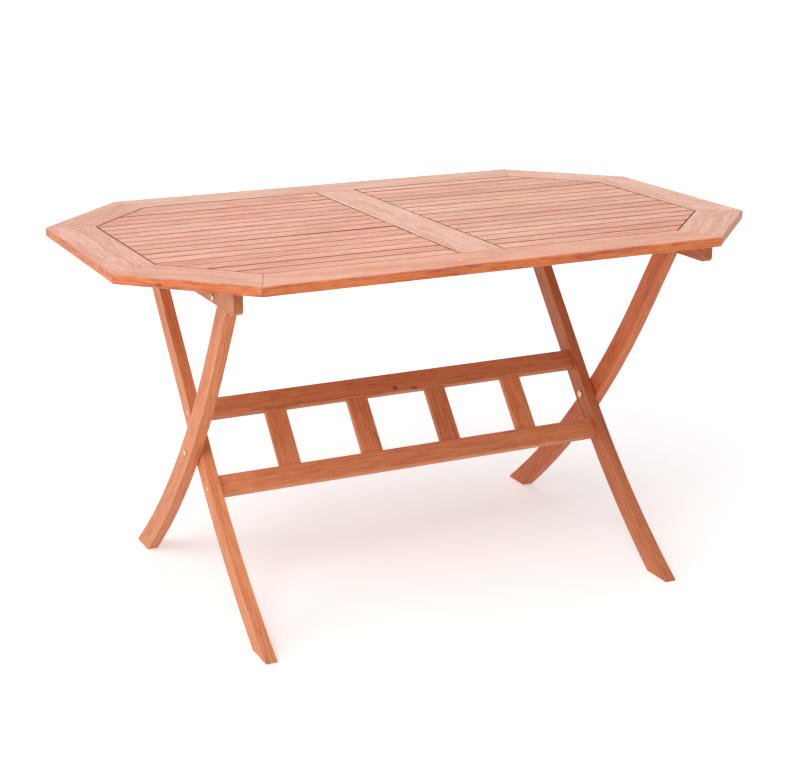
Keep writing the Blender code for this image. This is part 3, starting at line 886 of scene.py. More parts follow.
class Rule(Graph):
    """A Geometry Nodes tree with named inputs, and the means to run it once on an object."""

    def __init__(self, name: str, sizes: dict[str, float | int]) -> None:
        """Start the tree, with a named input for each size, and one for the material.

        Args:
            name: The tree's name.
            sizes: Each size by its input's name.
        """
        tree = bpy.data.node_groups.new(name, "GeometryNodeTree")
        super().__init__(tree)
        self.sizes = sizes
        interface = tree.interface
        self.identifiers = {}
        interface.new_socket("Geometry", in_out="INPUT", socket_type="NodeSocketGeometry")
        interface.new_socket("Geometry", in_out="OUTPUT", socket_type="NodeSocketGeometry")
        kinds = {label: "Int" if isinstance(size, int) else "Float"
                 for label, size in sizes.items()}
        for label, kind in (kinds | {"Finish": "Material"}).items():
            made = interface.new_socket(label, in_out="INPUT", socket_type=f"NodeSocket{kind}")
            self.identifiers[label] = made.identifier
        self.inputs = self.node("NodeGroupInput")

    def size(self, label: str) -> Value:
        """One of the named sizes."""
        return self.value(self.inputs, label)

    def store(self, geometry: Feed, name: str, kind: str, value: Feed) -> Socket:
        """Store a named attribute on the points of a geometry."""
        return self.node("GeometryNodeStoreNamedAttribute", {"data_type": kind}, {
            "Geometry": geometry, "Name": name, "Value": value}).outputs["Geometry"]

    def read(self, name: str, kind: str) -> Socket:
        """Read a named attribute."""
        return self.node("GeometryNodeInputNamedAttribute", {"data_type": kind},
                         {"Name": name}).outputs["Attribute"]

    def dice(self, low: float, high: float, salt: int) -> Value:
        """A chance value for each row, between two limits.

        Args:
            low: The lowest value.
            high: The highest value.
            salt: A number that sets this draw apart from the others.

        Returns:
            The value, the same all over a row.
        """
        seed = self.math("ADD", self.size("Row Seed"), float(salt))
        node = self.node("FunctionNodeRandomValue", {"data_type": "FLOAT"}, {
            2: low, 3: high, "ID": self.read("row", "FLOAT"), "Seed": seed})
        return self.value(node, 1)

    def within(self, value: Value, limit: float) -> Value:
        """A value, held between a limit and its negative."""
        return self.math("MAXIMUM", self.math("MINIMUM", value, limit), -limit)

    def row(self) -> Value:
        """The number of the row that a point belongs to."""
        return Value(self, self.read("row", "FLOAT"))

    def in_row(self, number: Value) -> Value:
        """1 in the row of this number, and else 0."""
        return abs(self.row() - number) < 0.5

    def place(self, geometry: Feed, x: Value, y: Value, z: Value) -> Socket:
        """Put the points of a geometry in their places."""
        return self.node("GeometryNodeSetPosition", None, {
            "Geometry": geometry, "Position": self.combine(x, y, z)}).outputs["Geometry"]

    def repeat(self, shape: Feed, points: Feed, rotation: Socket | None = None) -> Socket:
        """Copy a shape to each of some points, and make the copies real.

        Args:
            shape: What is copied.
            points: Where it goes.
            rotation: How each copy is turned, if it is.

        Returns:
            The copies, as one geometry.
        """
        turn = {"Rotation": rotation} if rotation else {}
        copies = self.node("GeometryNodeInstanceOnPoints", None, {
            "Points": points, "Instance": shape, **turn})
        return self.node("GeometryNodeRealizeInstances", None, {
            "Geometry": copies.outputs["Instances"]}).outputs["Geometry"]

    def pick(self, number: Value, choices: Sequence[Value | float]) -> Value:
        """Take the choice of a number, counted from 0.

        Args:
            number: The number.
            choices: What it chooses from.

        Returns:
            The choice.
        """
        node = self.node("GeometryNodeIndexSwitch", {"data_type": "FLOAT"})
        while len(node.index_switch_items) < len(choices):
            node.index_switch_items.new()
        self.feed(node.inputs["Index"], number)
        for index, choice in enumerate(choices):
            self.feed(node.inputs[index + 1], choice)
        return self.value(node)

    def end(self, geometry: Feed) -> None:
        """Finish the tree: its result gets the material.

        Args:
            geometry: The tree's result.
        """
        finished = self.node("GeometryNodeSetMaterial", None, {
            "Geometry": geometry, "Material": self.inputs.outputs["Finish"]})
        self.node("NodeGroupOutput", None, {0: finished.outputs["Geometry"]})

    def run(self, piece: Piece, material: Material) -> Piece:
        """Run the rule on an object and leave a plain mesh in it.

        Args:
            piece: The object.
            material: The material of what the rule makes.

        Returns:
            The same object.
        """
        modifier = piece.modifiers.new(self.tree.name, "NODES")
        modifier.node_group = self.tree
        for label, size in self.sizes.items():
            modifier[self.identifiers[label]] = size
        modifier[self.identifiers["Finish"]] = material
        return bake_down(piece)


@dataclass(frozen=True)
class SlatPanel:
    """The loose slats of one panel of the top, tongued at both ends to fit its octagonal frame.

    Each slat is a grid box whose steps along X are, from the inside outwards: tongue tip, tongue
    root, shoulder, eased shoulder, and the same again at the other end.
    """

    side: Side
    rows: int
    opening: float
    thickness: float
    middle_height: float
    inner_face: float
    short_reach: float
    corner_reach: float
    corner_normal: Vector
    seam: float
    tight_row: int
    shade: Shade
    gap: float = 0.003
    tongue_length: float = 0.008
    tongue_thickness: float = 0.006
    tongue_inset: float = 0.002
    play: float = 0.0006
    shift: float = 0.0016
    planed: float = 0.0004
    low_step: float = 0.0007
    first_seed: int = 11
    arris: float = 0.0012
    easing: float = 0.0005
    steps_x: int = 7
    flat_steps_y: float = 5.0
    flat_steps_z: float = 0.5
    arris_steps: float = 2.0

    @property
    def slat_width(self) -> float:
        """Width of one slat, so that the rows fill the opening with equal gaps."""
        return (self.opening - (self.rows + 1) * self.gap) / self.rows

    @property
    def bend(self) -> float:
        """Distance from the middle line at which the slats' ends pass on to the corner board."""
        short, corner = self.short_reach - self.seam, self.corner_reach - self.seam
        return (corner - self.corner_normal.x * short) / self.corner_normal.y

    def sizes(self) -> dict[str, float | int]:
        """List what the rule's inputs get.

        Returns:
            Each size by its input's name.
        """
        plain = {name.replace("_", " ").title(): getattr(self, name) for name in (
            "rows", "tight_row", "slat_width", "thickness", "arris", "easing", "middle_height",
            "inner_face", "short_reach", "corner_reach", "seam", "bend", "tongue_length",
            "tongue_thickness", "tongue_inset", "play", "shift", "planed", "low_step")}
        return plain | {
            "Row Seed": self.first_seed + self.side.value, "Side": float(self.side.value),
            "Pitch": self.slat_width + self.gap, "Corner Normal X": self.corner_normal.x,
            "Corner Normal Y": self.corner_normal.y, "Tone": self.shade.tone,
            "Front Warmth": self.shade.warmth}

    def build(self, material: Material) -> Piece:
        """Make the panel's slats as one plain mesh.

        Args:
            material: The wood's material.

        Returns:
            The slats, marked for their finish.
        """
        rule = Rule(f"{self.side.label}_slat_rule", self.sizes())
        blanks = self._blanks(rule)
        step_x, step_y, step_z = rule.parts(rule.read("step", "FLOAT_VECTOR"))
        reach = step_x * rule.size("Side")
        row_y = self._row_middle(rule, reach)
        local_y, local_z = self._section(rule, step_y, step_z, row_y)
        thin = abs(reach) > 2.0
        eased = (abs(reach) > 1.0) - thin
        easing = eased * rule.size("Easing")
        narrow = 1.0 - (thin * rule.size("Tongue Inset") + easing) * 2.0 / rule.size("Slat Width")
        slim = 1.0 - rule.size("Tongue Thickness") / rule.size("Thickness")
        shallow = 1.0 - thin * slim - easing * 2.0 / rule.size("Thickness")
        placed_y = row_y + local_y * narrow
        placed_x = rule.size("Side") * self._along(rule, reach, placed_y)
        upper = (step_z > 0.0) * (1.0 - thin)
        lowered = upper * self._planed_off(rule, reach)
        placed_z = rule.size("Middle Height") + local_z * shallow - lowered
        moved = rule.place(blanks, placed_x, placed_y, placed_z)
        rule.end(self._marked(rule, moved, placed_x, local_y, local_z))
        piece = put_in_scene(f"slats_{self.side.label}", bpy.data.meshes.new("blank"))
        return settle(rule.run(piece, material))

    def _blanks(self, rule: Rule) -> Socket:
        """Make a blank for each row: a box whose points still lie on whole grid steps.

        Args:
            rule: The tree.

        Returns:
            The blanks, with each point's grid steps stored as step and its row's number as row.
        """
        steps_y, steps_z = (round(2 * (flat + self.arris_steps))
                            for flat in (self.flat_steps_y, self.flat_steps_z))
        blank = rule.node("GeometryNodeMeshCube", None, {
            "Size": (self.steps_x, steps_y, steps_z), "Vertices X": self.steps_x + 1,
            "Vertices Y": steps_y + 1, "Vertices Z": steps_z + 1})
        steps = rule.store(blank.outputs["Mesh"], "step", "FLOAT_VECTOR",
                           rule.node("GeometryNodeInputPosition").outputs[0])
        line = rule.node("GeometryNodeMeshLine", None, {"Count": rule.size("Rows")})
        rows = rule.store(line.outputs["Mesh"], "row", "FLOAT",
                          rule.node("GeometryNodeInputIndex").outputs[0])
        return rule.repeat(steps, rows)

    @staticmethod
    def _row_middle(rule: Rule, reach: Value) -> Value:
        """Y of the middle of a point's slat, which lies loose in its grooves.

        Args:
            rule: The tree.
            reach: Grid step along the slat, above 0 in its outer half.

        Returns:
            The place; the tight slat's inner end is pushed to the rear.
        """
        even = (rule.row() - (rule.size("Rows") - 1.0) * 0.5) * rule.size("Pitch")
        pushed = rule.in_row(rule.size("Tight Row")) * (reach < 0.0)
        return even + rule.dice(-1.0, 1.0, 17) * rule.size("Play") + pushed * rule.size("Shift")

    @staticmethod
    def _planed_off(rule: Rule, reach: Value) -> Value:
        """How far a slat's face lies below the boards: most at one inner end."""
        low = rule.in_row(rule.size("Tight Row") - 1.0) * (reach < 0.0)
        return rule.dice(0.0, 1.0, 19) * rule.size("Planed") + low * rule.size("Low Step")

    def _section(self, rule: Rule, step_y: Value, step_z: Value,
                 row_y: Value) -> tuple[Value, Value]:
        """Place across and through a slat, with its long arrises rounded.

        Args:
            rule: The tree.
            step_y: Grid step across, counted from the middle; the last ones go round the arris.
            step_z: Grid step through, counted in the same way.
            row_y: Y of the slat's middle.

        Returns:
            The two places, from the middle of the slat's section.
        """
        arris = rule.size("Arris")
        core_y = rule.size("Slat Width") * 0.5 - arris
        core_z = rule.size("Thickness") * 0.5 - arris
        flat_y = rule.within(step_y, self.flat_steps_y)
        flat_z = rule.within(step_z, self.flat_steps_z)
        plain_y = flat_y * (1.0 / self.flat_steps_y) * core_y
        short_of_bend = rule.size("Bend") - abs(row_y + plain_y)
        near = abs(short_of_bend) < core_y * (0.5 / self.flat_steps_y)
        near = near * (abs(step_y) < self.flat_steps_y - 0.5)
        plain_y = plain_y + near * short_of_bend * rule.math("SIGN", row_y + plain_y)
        over_y = (step_y - flat_y) * (arris / self.arris_steps)
        over_z = (step_z - flat_z) * (arris / self.arris_steps)
        length = (over_y * over_y + over_z * over_z) ** 0.5
        pull = rule.math("MINIMUM", 1.0, arris / rule.math("MAXIMUM", length, TINY))
        plain_z = flat_z * (1.0 / self.flat_steps_z) * core_z
        return plain_y + over_y * pull, plain_z + over_z * pull

    @staticmethod
    def _along(rule: Rule, reach: Value, placed_y: Value) -> Value:
        """Place a point along its slat, with tongue, shoulder and easing at both ends.

        Args:
            rule: The tree.
            reach: Grid step along the slat, above 0 in its outer half.
            placed_y: The point's Y, on which the cut along the corner board depends.

        Returns:
            Its distance from the table's middle plane.
        """
        outer, tip, full = reach > 0.0, abs(reach) > 3.0, abs(reach) < 1.0
        easing = full * rule.size("Easing")
        tongue = tip * rule.size("Tongue Length")
        tight = rule.in_row(rule.size("Tight Row")) * (rule.size("Seam") - CLEARANCE)
        inner_x = rule.size("Inner Face") + rule.size("Seam") - tight
        inner_x = inner_x + easing - tip * rule.size("Seam") - tongue
        growth = tongue - rule.size("Seam") * (1.0 - tip)
        short = rule.size("Short Reach") + growth
        corner = rule.size("Corner Reach") + growth
        corner = (corner - rule.size("Corner Normal Y") * abs(placed_y)) / rule.size(
            "Corner Normal X")
        outer_x = rule.math("MINIMUM", short, corner) - easing
        return inner_x + outer * (outer_x - inner_x)

    @staticmethod
    def _marked(rule: Rule, geometry: Socket, placed_x: Value, local_y: Value,
                local_z: Value) -> Socket:
        """Store what the wood's finish reads: each slat has its own grain and its own tone.

        Args:
            rule: The tree.
            geometry: The slats.
            placed_x: A point's X.
            local_y: Its place across the slat.
            local_z: Its place through the slat.

        Returns:
            The slats, with the attributes stored.
        """
        grain = rule.combine(placed_x + rule.dice(2.0, 60.0, 3),
                             local_y + rule.dice(-0.05, 0.05, 5),
                             local_z + rule.dice(-0.03, 0.03, 7))
        rearward = rule.row() / rule.size("Rows")
        warmth = rule.dice(-0.4, 0.4, 13) + rule.size("Front Warmth") - rearward * 0.5
        normal = rule.parts(rule.node("GeometryNodeInputNormal").outputs[0])
        # Sides and arrises of the slats face the gaps: grime and painted shade, doubled round the
        # tongues.
        hidden = rule.value(rule.node("ShaderNodeClamp", None, {
            "Value": (FACE_COSINE - abs(normal[2])) * 3.0}))
        step_x = rule.parts(rule.read("step", "FLOAT_VECTOR"))[0]
        hidden = hidden * ((abs(step_x) > 1.0) + 1.0)
        geometry = rule.store(geometry, "seam", "FLOAT", hidden)
        geometry = rule.store(geometry, "grain", "FLOAT_VECTOR", grain)
        geometry = rule.store(geometry, "warmth", "FLOAT", warmth)
        return rule.store(geometry, "tone", "FLOAT",
                          rule.dice(-1.0, 1.0, 1) + rule.size("Tone"))


@dataclass(frozen=True)
class Screw:
    """Where a screw's head sits and the way that it faces."""

    place: Vector
    facing: Vector


@dataclass(frozen=True)
class ScrewSet:
    """Turned screw heads with hexagon sockets, one shape repeated at many places."""

    name: str
    head_radius: float
    head_height: float
    socket_radius: float
    socket_depth: float
    sunk: float = 0.0012
    steps: int = 24
    rim_share: float = 0.12
    rim_height: float = 0.94
    base_share: float = 0.9
    plain_rings: int = 6
    profile: tuple[tuple[float, float], ...] = (
        (0.72, 0.88), (0.90, 0.66), (0.98, 0.42), (1.0, 0.2), (1.0, 0.0))

    def build(self, screws: Sequence[Screw], material: Material) -> Piece:
        """Make the screws of one body as one plain mesh.

        Args:
            screws: Where the screws sit.
            material: The brass's material.

        Returns:
            The screws.
        """
        rule = Rule(f"{self.name}_rule", {
            "Head Radius": self.head_radius, "Head Height": self.head_height,
            "Socket Radius": self.socket_radius, "Socket Depth": self.socket_depth,
            "Sunk": self.sunk})
        facing = rule.read("facing", "FLOAT_VECTOR")
        turned = rule.node("FunctionNodeAlignRotationToVector", {"axis": "Z"}, {
            "Vector": facing})
        rule.end(rule.repeat(self._head(rule), rule.inputs.outputs["Geometry"],
                             turned.outputs["Rotation"]))
        mesh = bpy.data.meshes.new(self.name)
        mesh.from_pydata([screw.place for screw in screws], [], [])
        ways = mesh.attributes.new("facing", "FLOAT_VECTOR", "POINT")
        ways.data.foreach_set("vector", [part for screw in screws for part in screw.facing])
        piece = rule.run(put_in_scene(self.name, mesh), material)
        piece.data.set_sharp_from_angle(angle=math.radians(SHARP_FROM))
        return piece

    def _head(self, rule: Rule) -> Socket:
        """One head, turned from a grid: its rows are rings and its columns go round.

        Args:
            rule: The tree.

        Returns:
            The head, on the origin and facing +Z.
        """
        rings = len(self.profile) + self.plain_rings
        grid = rule.node("GeometryNodeMeshGrid", None, {
            "Size X": rings - 1.0, "Size Y": float(self.steps), "Vertices X": rings,
            "Vertices Y": self.steps + 1})
        ring, column, _ = rule.parts(rule.node("GeometryNodeInputPosition").outputs[0])
        ring = rule.math("ROUND", ring + (rings - 1.0) / 2)
        angle = column * (math.tau / self.steps)
        sector = rule.math("FLOORED_MODULO", angle, HEXAGON_SECTOR) - HEXAGON_SECTOR / 2
        hexagon = math.cos(HEXAGON_SECTOR / 2) / rule.math("COSINE", sector)
        head, tall = rule.size("Head Radius"), rule.size("Head Height")
        socket, deep = rule.size("Socket Radius"), 0.0 - rule.size("Sunk")
        floor = tall - rule.size("Socket Depth")
        hexed, rim = socket * hexagon, socket + (head - socket) * self.rim_share
        radii = (0.0, hexed, hexed, rim, *(head * out for out, _ in self.profile),
                 head * self.base_share, 0.0)
        heights = (floor, floor, tall * self.rim_height, tall,
                   *(tall * up for _, up in self.profile), deep, deep)
        radius, height = (rule.pick(ring, choices) for choices in (radii, heights))
        turned = rule.place(grid.outputs["Mesh"], radius * rule.math("COSINE", angle),
                            radius * rule.math("SINE", angle), height)
        merged = rule.node("GeometryNodeMergeByDistance", None, {
            "Geometry": turned, "Distance": SAME_PLACE})
        return merged.outputs["Geometry"]


# The table's sub-assemblies


# Middle planes of the legs and battens along X, and heights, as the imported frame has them.
OUTER_LEG_X, INNER_LEG_X, BATTEN_X = 0.46875, 0.44425, 0.493
BATTEN_BOTTOM, HINGE_HEIGHT, CROSSBAR_HEIGHT = 0.6743, 0.6865, 0.684
# The tight row of a panel in which every slat lies loose.
NO_ROW = -5


@dataclass(frozen=True)
class FrameSide:
    """One side of the octagonal top: its outward normal and its distance from the middle."""

    node: str
    shade: Shade
    normal: Vector
    reach: float


@dataclass
class TableTop:
    """The octagonal top: a mitred frame, a centre board and two panels of loose slats."""

    length: float = 1.350
    width: float = 0.865
    height: float = 0.739
    thickness: float = 0.019
    corner_cut: Vector = field(default_factory=lambda: Vector((0.201, 0.206)))
    board_width: float = 0.0915
    outer_arris: float = 0.003
    inner_arris: float = 0.001
    mitre_easing: float = 0.0004
    groove_depth: float = 0.009
    groove_height: float = 0.0066
    seam: float = 0.0021
    slats_per_panel: int = 17
    tight_row: int = 7
    centre_shade: Shade = Shade(-1.2, -0.3)
    finish: WoodFinish = TOP_WOOD

    def __post_init__(self) -> None:
        """Make the finish's material."""
        self.material = self.finish.material()

    @property
    def middle_height(self) -> float:
        """Height of the boards' middle plane."""
        return self.height - self.thickness / 2

    def sides(self) -> list[FrameSide]:
        """Lay out the octagon.

        Returns:
            Its eight sides, counterclockwise from the front.
        """
        boards = (("edge_board_front", Shade(-1.4, 1.05)),
                  ("corner_board_front_right", Shade(-1.3, -0.15)),
                  ("edge_board_right", Shade(-0.5, -0.6)),
                  ("corner_board_rear_right", Shade(-0.3, -0.6)),
                  ("edge_board_rear", Shade(-1.5, -0.4)),
                  ("corner_board_rear_left", Shade(-2.5, 0.2)),
                  ("edge_board_left", Shade(-2.0, 0.4)),
                  ("corner_board_front_left", Shade(-2.2, 0.7)))
        half = Vector((self.length / 2, self.width / 2))
        near = half - self.corner_cut
        corners = [Vector(place) for place in (
            (-near.x, -half.y), (near.x, -half.y), (half.x, -near.y), (half.x, near.y),
            (near.x, half.y), (-near.x, half.y), (-half.x, near.y), (-half.x, -near.y))]
        sides = []
        for index, (name, shade) in enumerate(boards):
            following = corners[(index + 1) % len(corners)]
            normal = -left_of(following - corners[index]).normalized()
            sides.append(FrameSide(name, shade, normal, normal.dot(corners[index])))
        return sides

    def build(self) -> None:
        """Make every piece of the top and hand it over."""
        sides = self.sides()
        for index, side in enumerate(sides):
            following = sides[(index + 1) % len(sides)]
            board = self._frame_board(side, sides[index - 1], following)
            self._hand(board, [side.node])
        self._hand(self._centre_board(), ["centre_board"])
        for side in Side:
            panel = self._panel(side, sides)
            names = [f"slat_{side.label}_{row:02d}" for row in range(1, panel.rows + 1)]
            self._hand(panel.build(self.material), names)

    def _hand(self, piece: Piece, nodes: Sequence[str]) -> None:
        """Hand over a piece of the top."""
        hand_over(piece, Body.TOP, Slot.TOP_WOOD, self.material, nodes)

    def _groove(self) -> Outline:
        """Draw the groove for the tongues, in the edge of a board that lies towards +X.

        Returns:
            Its corners, counterclockwise round the board.
        """
        edge, half = self.board_width / 2, self.groove_height / 2
        floor = edge - self.groove_depth
        return [Vector(point) for point in (
            (edge, -half), (floor, -half), (floor, half), (edge, half))]

    def _grooved_section(self) -> Outline:
        """Draw a frame board's section: round outside, and grooved inside for the tongues.

        Returns:
            The outline.
        """
        radii = (self.inner_arris, self.outer_arris, self.outer_arris, self.inner_arris)
        section = rounded_section(self.board_width, self.thickness, radii)
        return section + [-point for point in self._groove()]

    def _frame_board(self, side: FrameSide, before: FrameSide, after: FrameSide) -> Piece:
        """Make one board of the frame, mitred against both its neighbours.

        Args:
            side: The board's side.
            before: The side before it.
            after: The side after it.

        Returns:
            The board, marked for its finish.
        """
        axes = Axes(
            origin=(side.normal * (side.reach - self.board_width / 2)).to_3d()
            + self.middle_height * AXIS_Z,
            along=left_of(side.normal).to_3d(), across=side.normal.to_3d(), through=AXIS_Z)

        def ends(across: float) -> tuple[float, float]:
            """Find where the two mitres cut the board.

            Args:
                across: Distance across the board from its middle.

            Returns:
                Where it starts and ends.
            """
            runs = []
            for other in (before, after):
                mitre = other.normal - side.normal
                limit = (other.reach - side.reach) / mitre.length - CLEARANCE / 2
                mitre = mitre.normalized().to_3d()
                start = axes.origin + across * axes.across
                runs.append((limit - mitre.dot(start)) / mitre.dot(axes.along))
            return runs[0], runs[1]

        def hidden(way: Vector) -> float:
            """Darken the inner edge and, less so, the mitres: grime and painted shade."""
            return max(seam_edge(-way.y), 0.35 * share_between(abs(way.x), 0.5, 0.9))

        board = settle(bar(f"top_{side.node}", axes, self._grooved_section(), ends,
                           self.mitre_easing))
        mark_straight(board, axes, hidden, side.shade)
        return board

    def _centre_board(self) -> Piece:
        """Make the cross board between the panels, grooved on both edges.

        Returns:
            The board, marked for its finish.
        """
        axes = Axes(self.middle_height * AXIS_Z, AXIS_Y, -AXIS_X, AXIS_Z)
        outline = rounded_section(self.board_width, self.thickness, (self.inner_arris,) * 4)
        right, half_way = self._groove(), len(outline) // 2
        left = [-point for point in right]
        section = outline[:half_way] + right + outline[half_way:] + left
        reach = self.width / 2 - self.board_width - CLEARANCE
        board = settle(bar("top_centre_board", axes, section, lambda across: (-reach, reach),
                           self.mitre_easing))
        # Both grooved edges face the slats' gaps: grime and painted shade.
        mark_straight(board, axes, lambda way: seam_edge(max(abs(way.x), abs(way.y))),
                      self.centre_shade)
        return board

    def _panel(self, side: Side, sides: Sequence[FrameSide]) -> SlatPanel:
        """Fit a slat panel into one half of the frame.

        Args:
            side: The panel's side.
            sides: The sides of the octagon.

        Returns:
            The panel.
        """
        short, corner = sides[2], sides[1]
        return SlatPanel(
            side=side, rows=self.slats_per_panel, opening=self.width - 2 * self.board_width,
            thickness=self.thickness, middle_height=self.middle_height,
            inner_face=self.board_width / 2,
            short_reach=short.reach - self.board_width,
            corner_reach=corner.reach - self.board_width,
            corner_normal=Vector((abs(corner.normal.x), abs(corner.normal.y))),
            seam=self.seam, tight_row=self.tight_row if side is Side.LEFT else NO_ROW,
            shade=Shade(0.0, 0.35) if side is Side.LEFT else Shade(0.4, -0.15))


@dataclass(frozen=True)
class BowLine:
    """Middle line of a leg: straight at the top, bowed below, in the plane of Y and Z.

    A run is measured along it from the pivot, and is negative below it.
    """

    top_lean: float
    bow_radius: float
    straight_from: float
    mirrored: bool
    pivot: Vector = field(default_factory=lambda: Vector((-0.0036, 0.3105)))

    @property
    def lean(self) -> float:
        """Lean of the straight part, in radians."""
        return math.radians(self.top_lean)

    @property
    def bow_middle(self) -> Vector:
        """Middle of the bow's circle, relative to the pivot."""
        return self.bow_radius * ray(self.lean + self.straight_from / self.bow_radius)

    def at(self, run: float) -> tuple[Vector, float]:
        """Follow the line for a run.

        Args:
            run: Distance from the pivot.

        Returns:
            Place relative to the pivot, with the foot on the +Y side, and lean in radians.
        """
        lean = self.lean + (self.straight_from - min(run, self.straight_from)) / self.bow_radius
        place = self.bow_middle - self.bow_radius * ray(lean)
        return place + max(run - self.straight_from, 0.0) * left_of(ray(self.lean)), lean

    def run_to_height(self, height: float) -> float:
        """Run from the pivot to a height on the straight part."""
        place, lean = self.at(self.straight_from)
        return self.straight_from + (height - self.pivot.y - place.y) / math.cos(lean)

    def world(self, place: Vector) -> Vector:
        """Y and Z in the table's frame of a place relative to the pivot."""
        across = -place.x if self.mirrored else place.x
        return self.pivot + Vector((across, place.y))

    def locate(self, point: Vector) -> tuple[float, float, float]:
        """Find where a point lies along the line and across it.

        Args:
            point: Y and Z in the table's frame.

        Returns:
            Run from the pivot, offset across the line, and the line's lean there in radians.
        """
        away = point - self.pivot
        if self.mirrored:
            away.x = -away.x
        spoke = away - self.bow_middle
        lean = math.atan2(-spoke.y, -spoke.x)
        if lean > self.lean:
            run = self.straight_from - (lean - self.lean) * self.bow_radius
            return run, self.bow_radius - spoke.length, lean
        rest, across = away - self.at(self.straight_from)[0], ray(self.lean)
        return self.straight_from + rest.dot(left_of(across)), rest.dot(across), self.lean


@dataclass
class BowedLeg:
    """A bowed leg: tapered, level at the foot, round at the top, with rounded arrises."""

    name: str
    line: BowLine
    middle_x: float
    top_height: float
    shade: Shade
    thickness: float = 0.0225
    foot_half_width: float = 0.0222
    top_half_width: float = 0.0212
    lowest_run: float = -0.520
    tip_radius: float = 0.002
    heel_radius: float = 0.012
    sole_margin: float = 0.016
    arris: float = 0.003
    sole_band: float = 0.004
    bow_steps: int = 18
    crown_steps: int = 16
    tip_steps: int = 4
    heel_steps: int = 5
    straight_step: float = 0.05

    def build(self) -> Piece:
        """Make the leg as a plain mesh, marked for its finish.

        Returns:
            The leg.
        """
        outline, pairs = self._outline()
        shell = bmesh.new()
        faces = []
        for offset in (-self.thickness / 2, self.thickness / 2):
            loop = []
            for point in outline:
                placed = self.line.world(point)
                loop.append(shell.verts.new((self.middle_x + offset, placed.x, placed.y)))
            faces.append(loop)
            self._fill(shell, loop, pairs)
        for index in range(len(outline)):
            shell.faces.new((faces[0][index - 1], faces[0][index], faces[1][index],
                             faces[1][index - 1]))
        piece = close(shell, self.name)
        self._weigh(piece)
        bevel = piece.modifiers.new("arris_rounding", "BEVEL")
        bevel.limit_method, bevel.width, bevel.segments = "WEIGHT", self.arris, 3
        settle(bake_down(piece))
        mark_wood(piece, self._locate, shade=self.shade)
        return piece

    @staticmethod
    def _fill(shell: bmesh.types.BMesh, loop: Sequence[bmesh.types.BMVert],
              pairs: Sequence[tuple[int, int]]) -> None:
        """Fill one flat side by strips between paired points, with the foot and crown whole.

        Args:
            shell: The leg's shell.
            loop: The side's corners.
            pairs: Numbers of the corners that face each other across the leg.
        """
        for (rear, front), (next_rear, next_front) in zip(pairs, pairs[1:]):
            shell.faces.new((loop[rear], loop[next_rear], loop[next_front], loop[front]))
        first_rear, first_front = pairs[0]
        last_rear, last_front = pairs[-1]
        shell.faces.new(loop[first_front:] + loop[:first_rear + 1])
        shell.faces.new(loop[last_rear:last_front + 1])

    def _weigh(self, piece: Piece) -> None:
        """Say how far the arrises between the leg's flat sides and its edge are rounded.

        Args:
            piece: The leg; the arrises of its sole get half the radius.
        """
        mesh = piece.data
        weights = mesh.attributes.new("bevel_weight_edge", "FLOAT", "EDGE")
        counts: dict[tuple[int, int], list[float]] = {}
        for face in mesh.polygons:
            for key in face.edge_keys:
                counts.setdefault(key, []).append(abs(face.normal.x))
        for edge in mesh.edges:
            flats = counts[edge.key]
            if max(flats) > FACE_COSINE and min(flats) < 1.0 - FACE_COSINE:
                low = all(mesh.vertices[index].co.z < self.sole_band for index in edge.vertices)
                weights.data[edge.index].value = 0.5 if low else 1.0

    def _outline(self) -> tuple[Outline, list[tuple[int, int]]]:
        """Outline relative to the pivot, counterclockwise from the rear foot.

        Returns:
            The outline, and the numbers of the points that face each other across the leg.
        """
        top_run = self.line.run_to_height(self.top_height)
        bowed = self.line.straight_from - self.lowest_run
        runs = [self.lowest_run + bowed * step / self.bow_steps
                for step in range(self.bow_steps + 1)]
        left = top_run - runs[-1]
        if left > 1.2 * self.straight_step:
            extra = max(2, round(left / self.straight_step))
            runs += [runs[-1] + left * step / extra for step in range(1, extra)]
        rear, front = [], []
        for run in runs:
            place, lean = self.line.at(run)
            share = (run - self.lowest_run) / (top_run - self.lowest_run)
            half = self.foot_half_width + share * (self.top_half_width - self.foot_half_width)
            across = half * ray(lean)
            rear.append((place + across).freeze())
            front.append((place - across).freeze())
        crown, lean = self.line.at(top_run)
        degrees = math.degrees(lean)
        top = arc(crown, self.top_half_width, degrees, degrees + 180, self.crown_steps)
        outline = self._sole_cut(rear + top + front[::-1])
        places = {point.copy().freeze(): index for index, point in enumerate(outline)}
        pairs = [(places[first], places[second]) for first, second in zip(rear, front)
                 if first in places and second in places]
        return outline, pairs

    def _sole_cut(self, outline: Outline) -> Outline:
        """Cut the foot level with the floor, with its pointed tip and its blunt heel rounded.

        Args:
            outline: The whole leg's outline, relative to the pivot.

        Returns:
            The cut outline.
        """
        floor = self.line.pivot.y
        cut = clip(outline, Vector((0, -1)), floor)
        on_floor = [point for point in cut if point.y < SAME_PLACE - floor]
        heel, tip = sorted(on_floor, key=lambda point: point.x)
        cut = [point for point in cut if point in (heel, tip) or (
            min((point - tip).length, (point - heel).length) > self.sole_margin)]
        cut = fillet(cut, cut.index(tip), self.tip_radius, self.tip_steps)
        return fillet(cut, cut.index(heel), self.heel_radius, self.heel_steps)

    def _locate(self, point: Vector) -> tuple[Vector, Axes]:
        """Find where a point lies within the leg.

        Args:
            point: The point, in the table's frame.

        Returns:
            Its place along, across and through the leg, and the leg's axes there.
        """
        run, across, lean = self.line.locate(Vector((point.y, point.z)))
        flip = -1.0 if self.line.mirrored else 1.0
        axes = Axes(point, Vector((0, -flip * math.sin(lean), math.cos(lean))),
                    Vector((0, flip * math.cos(lean), math.sin(lean))), AXIS_X)
        return Vector((run, across, point.x - self.middle_x)), axes


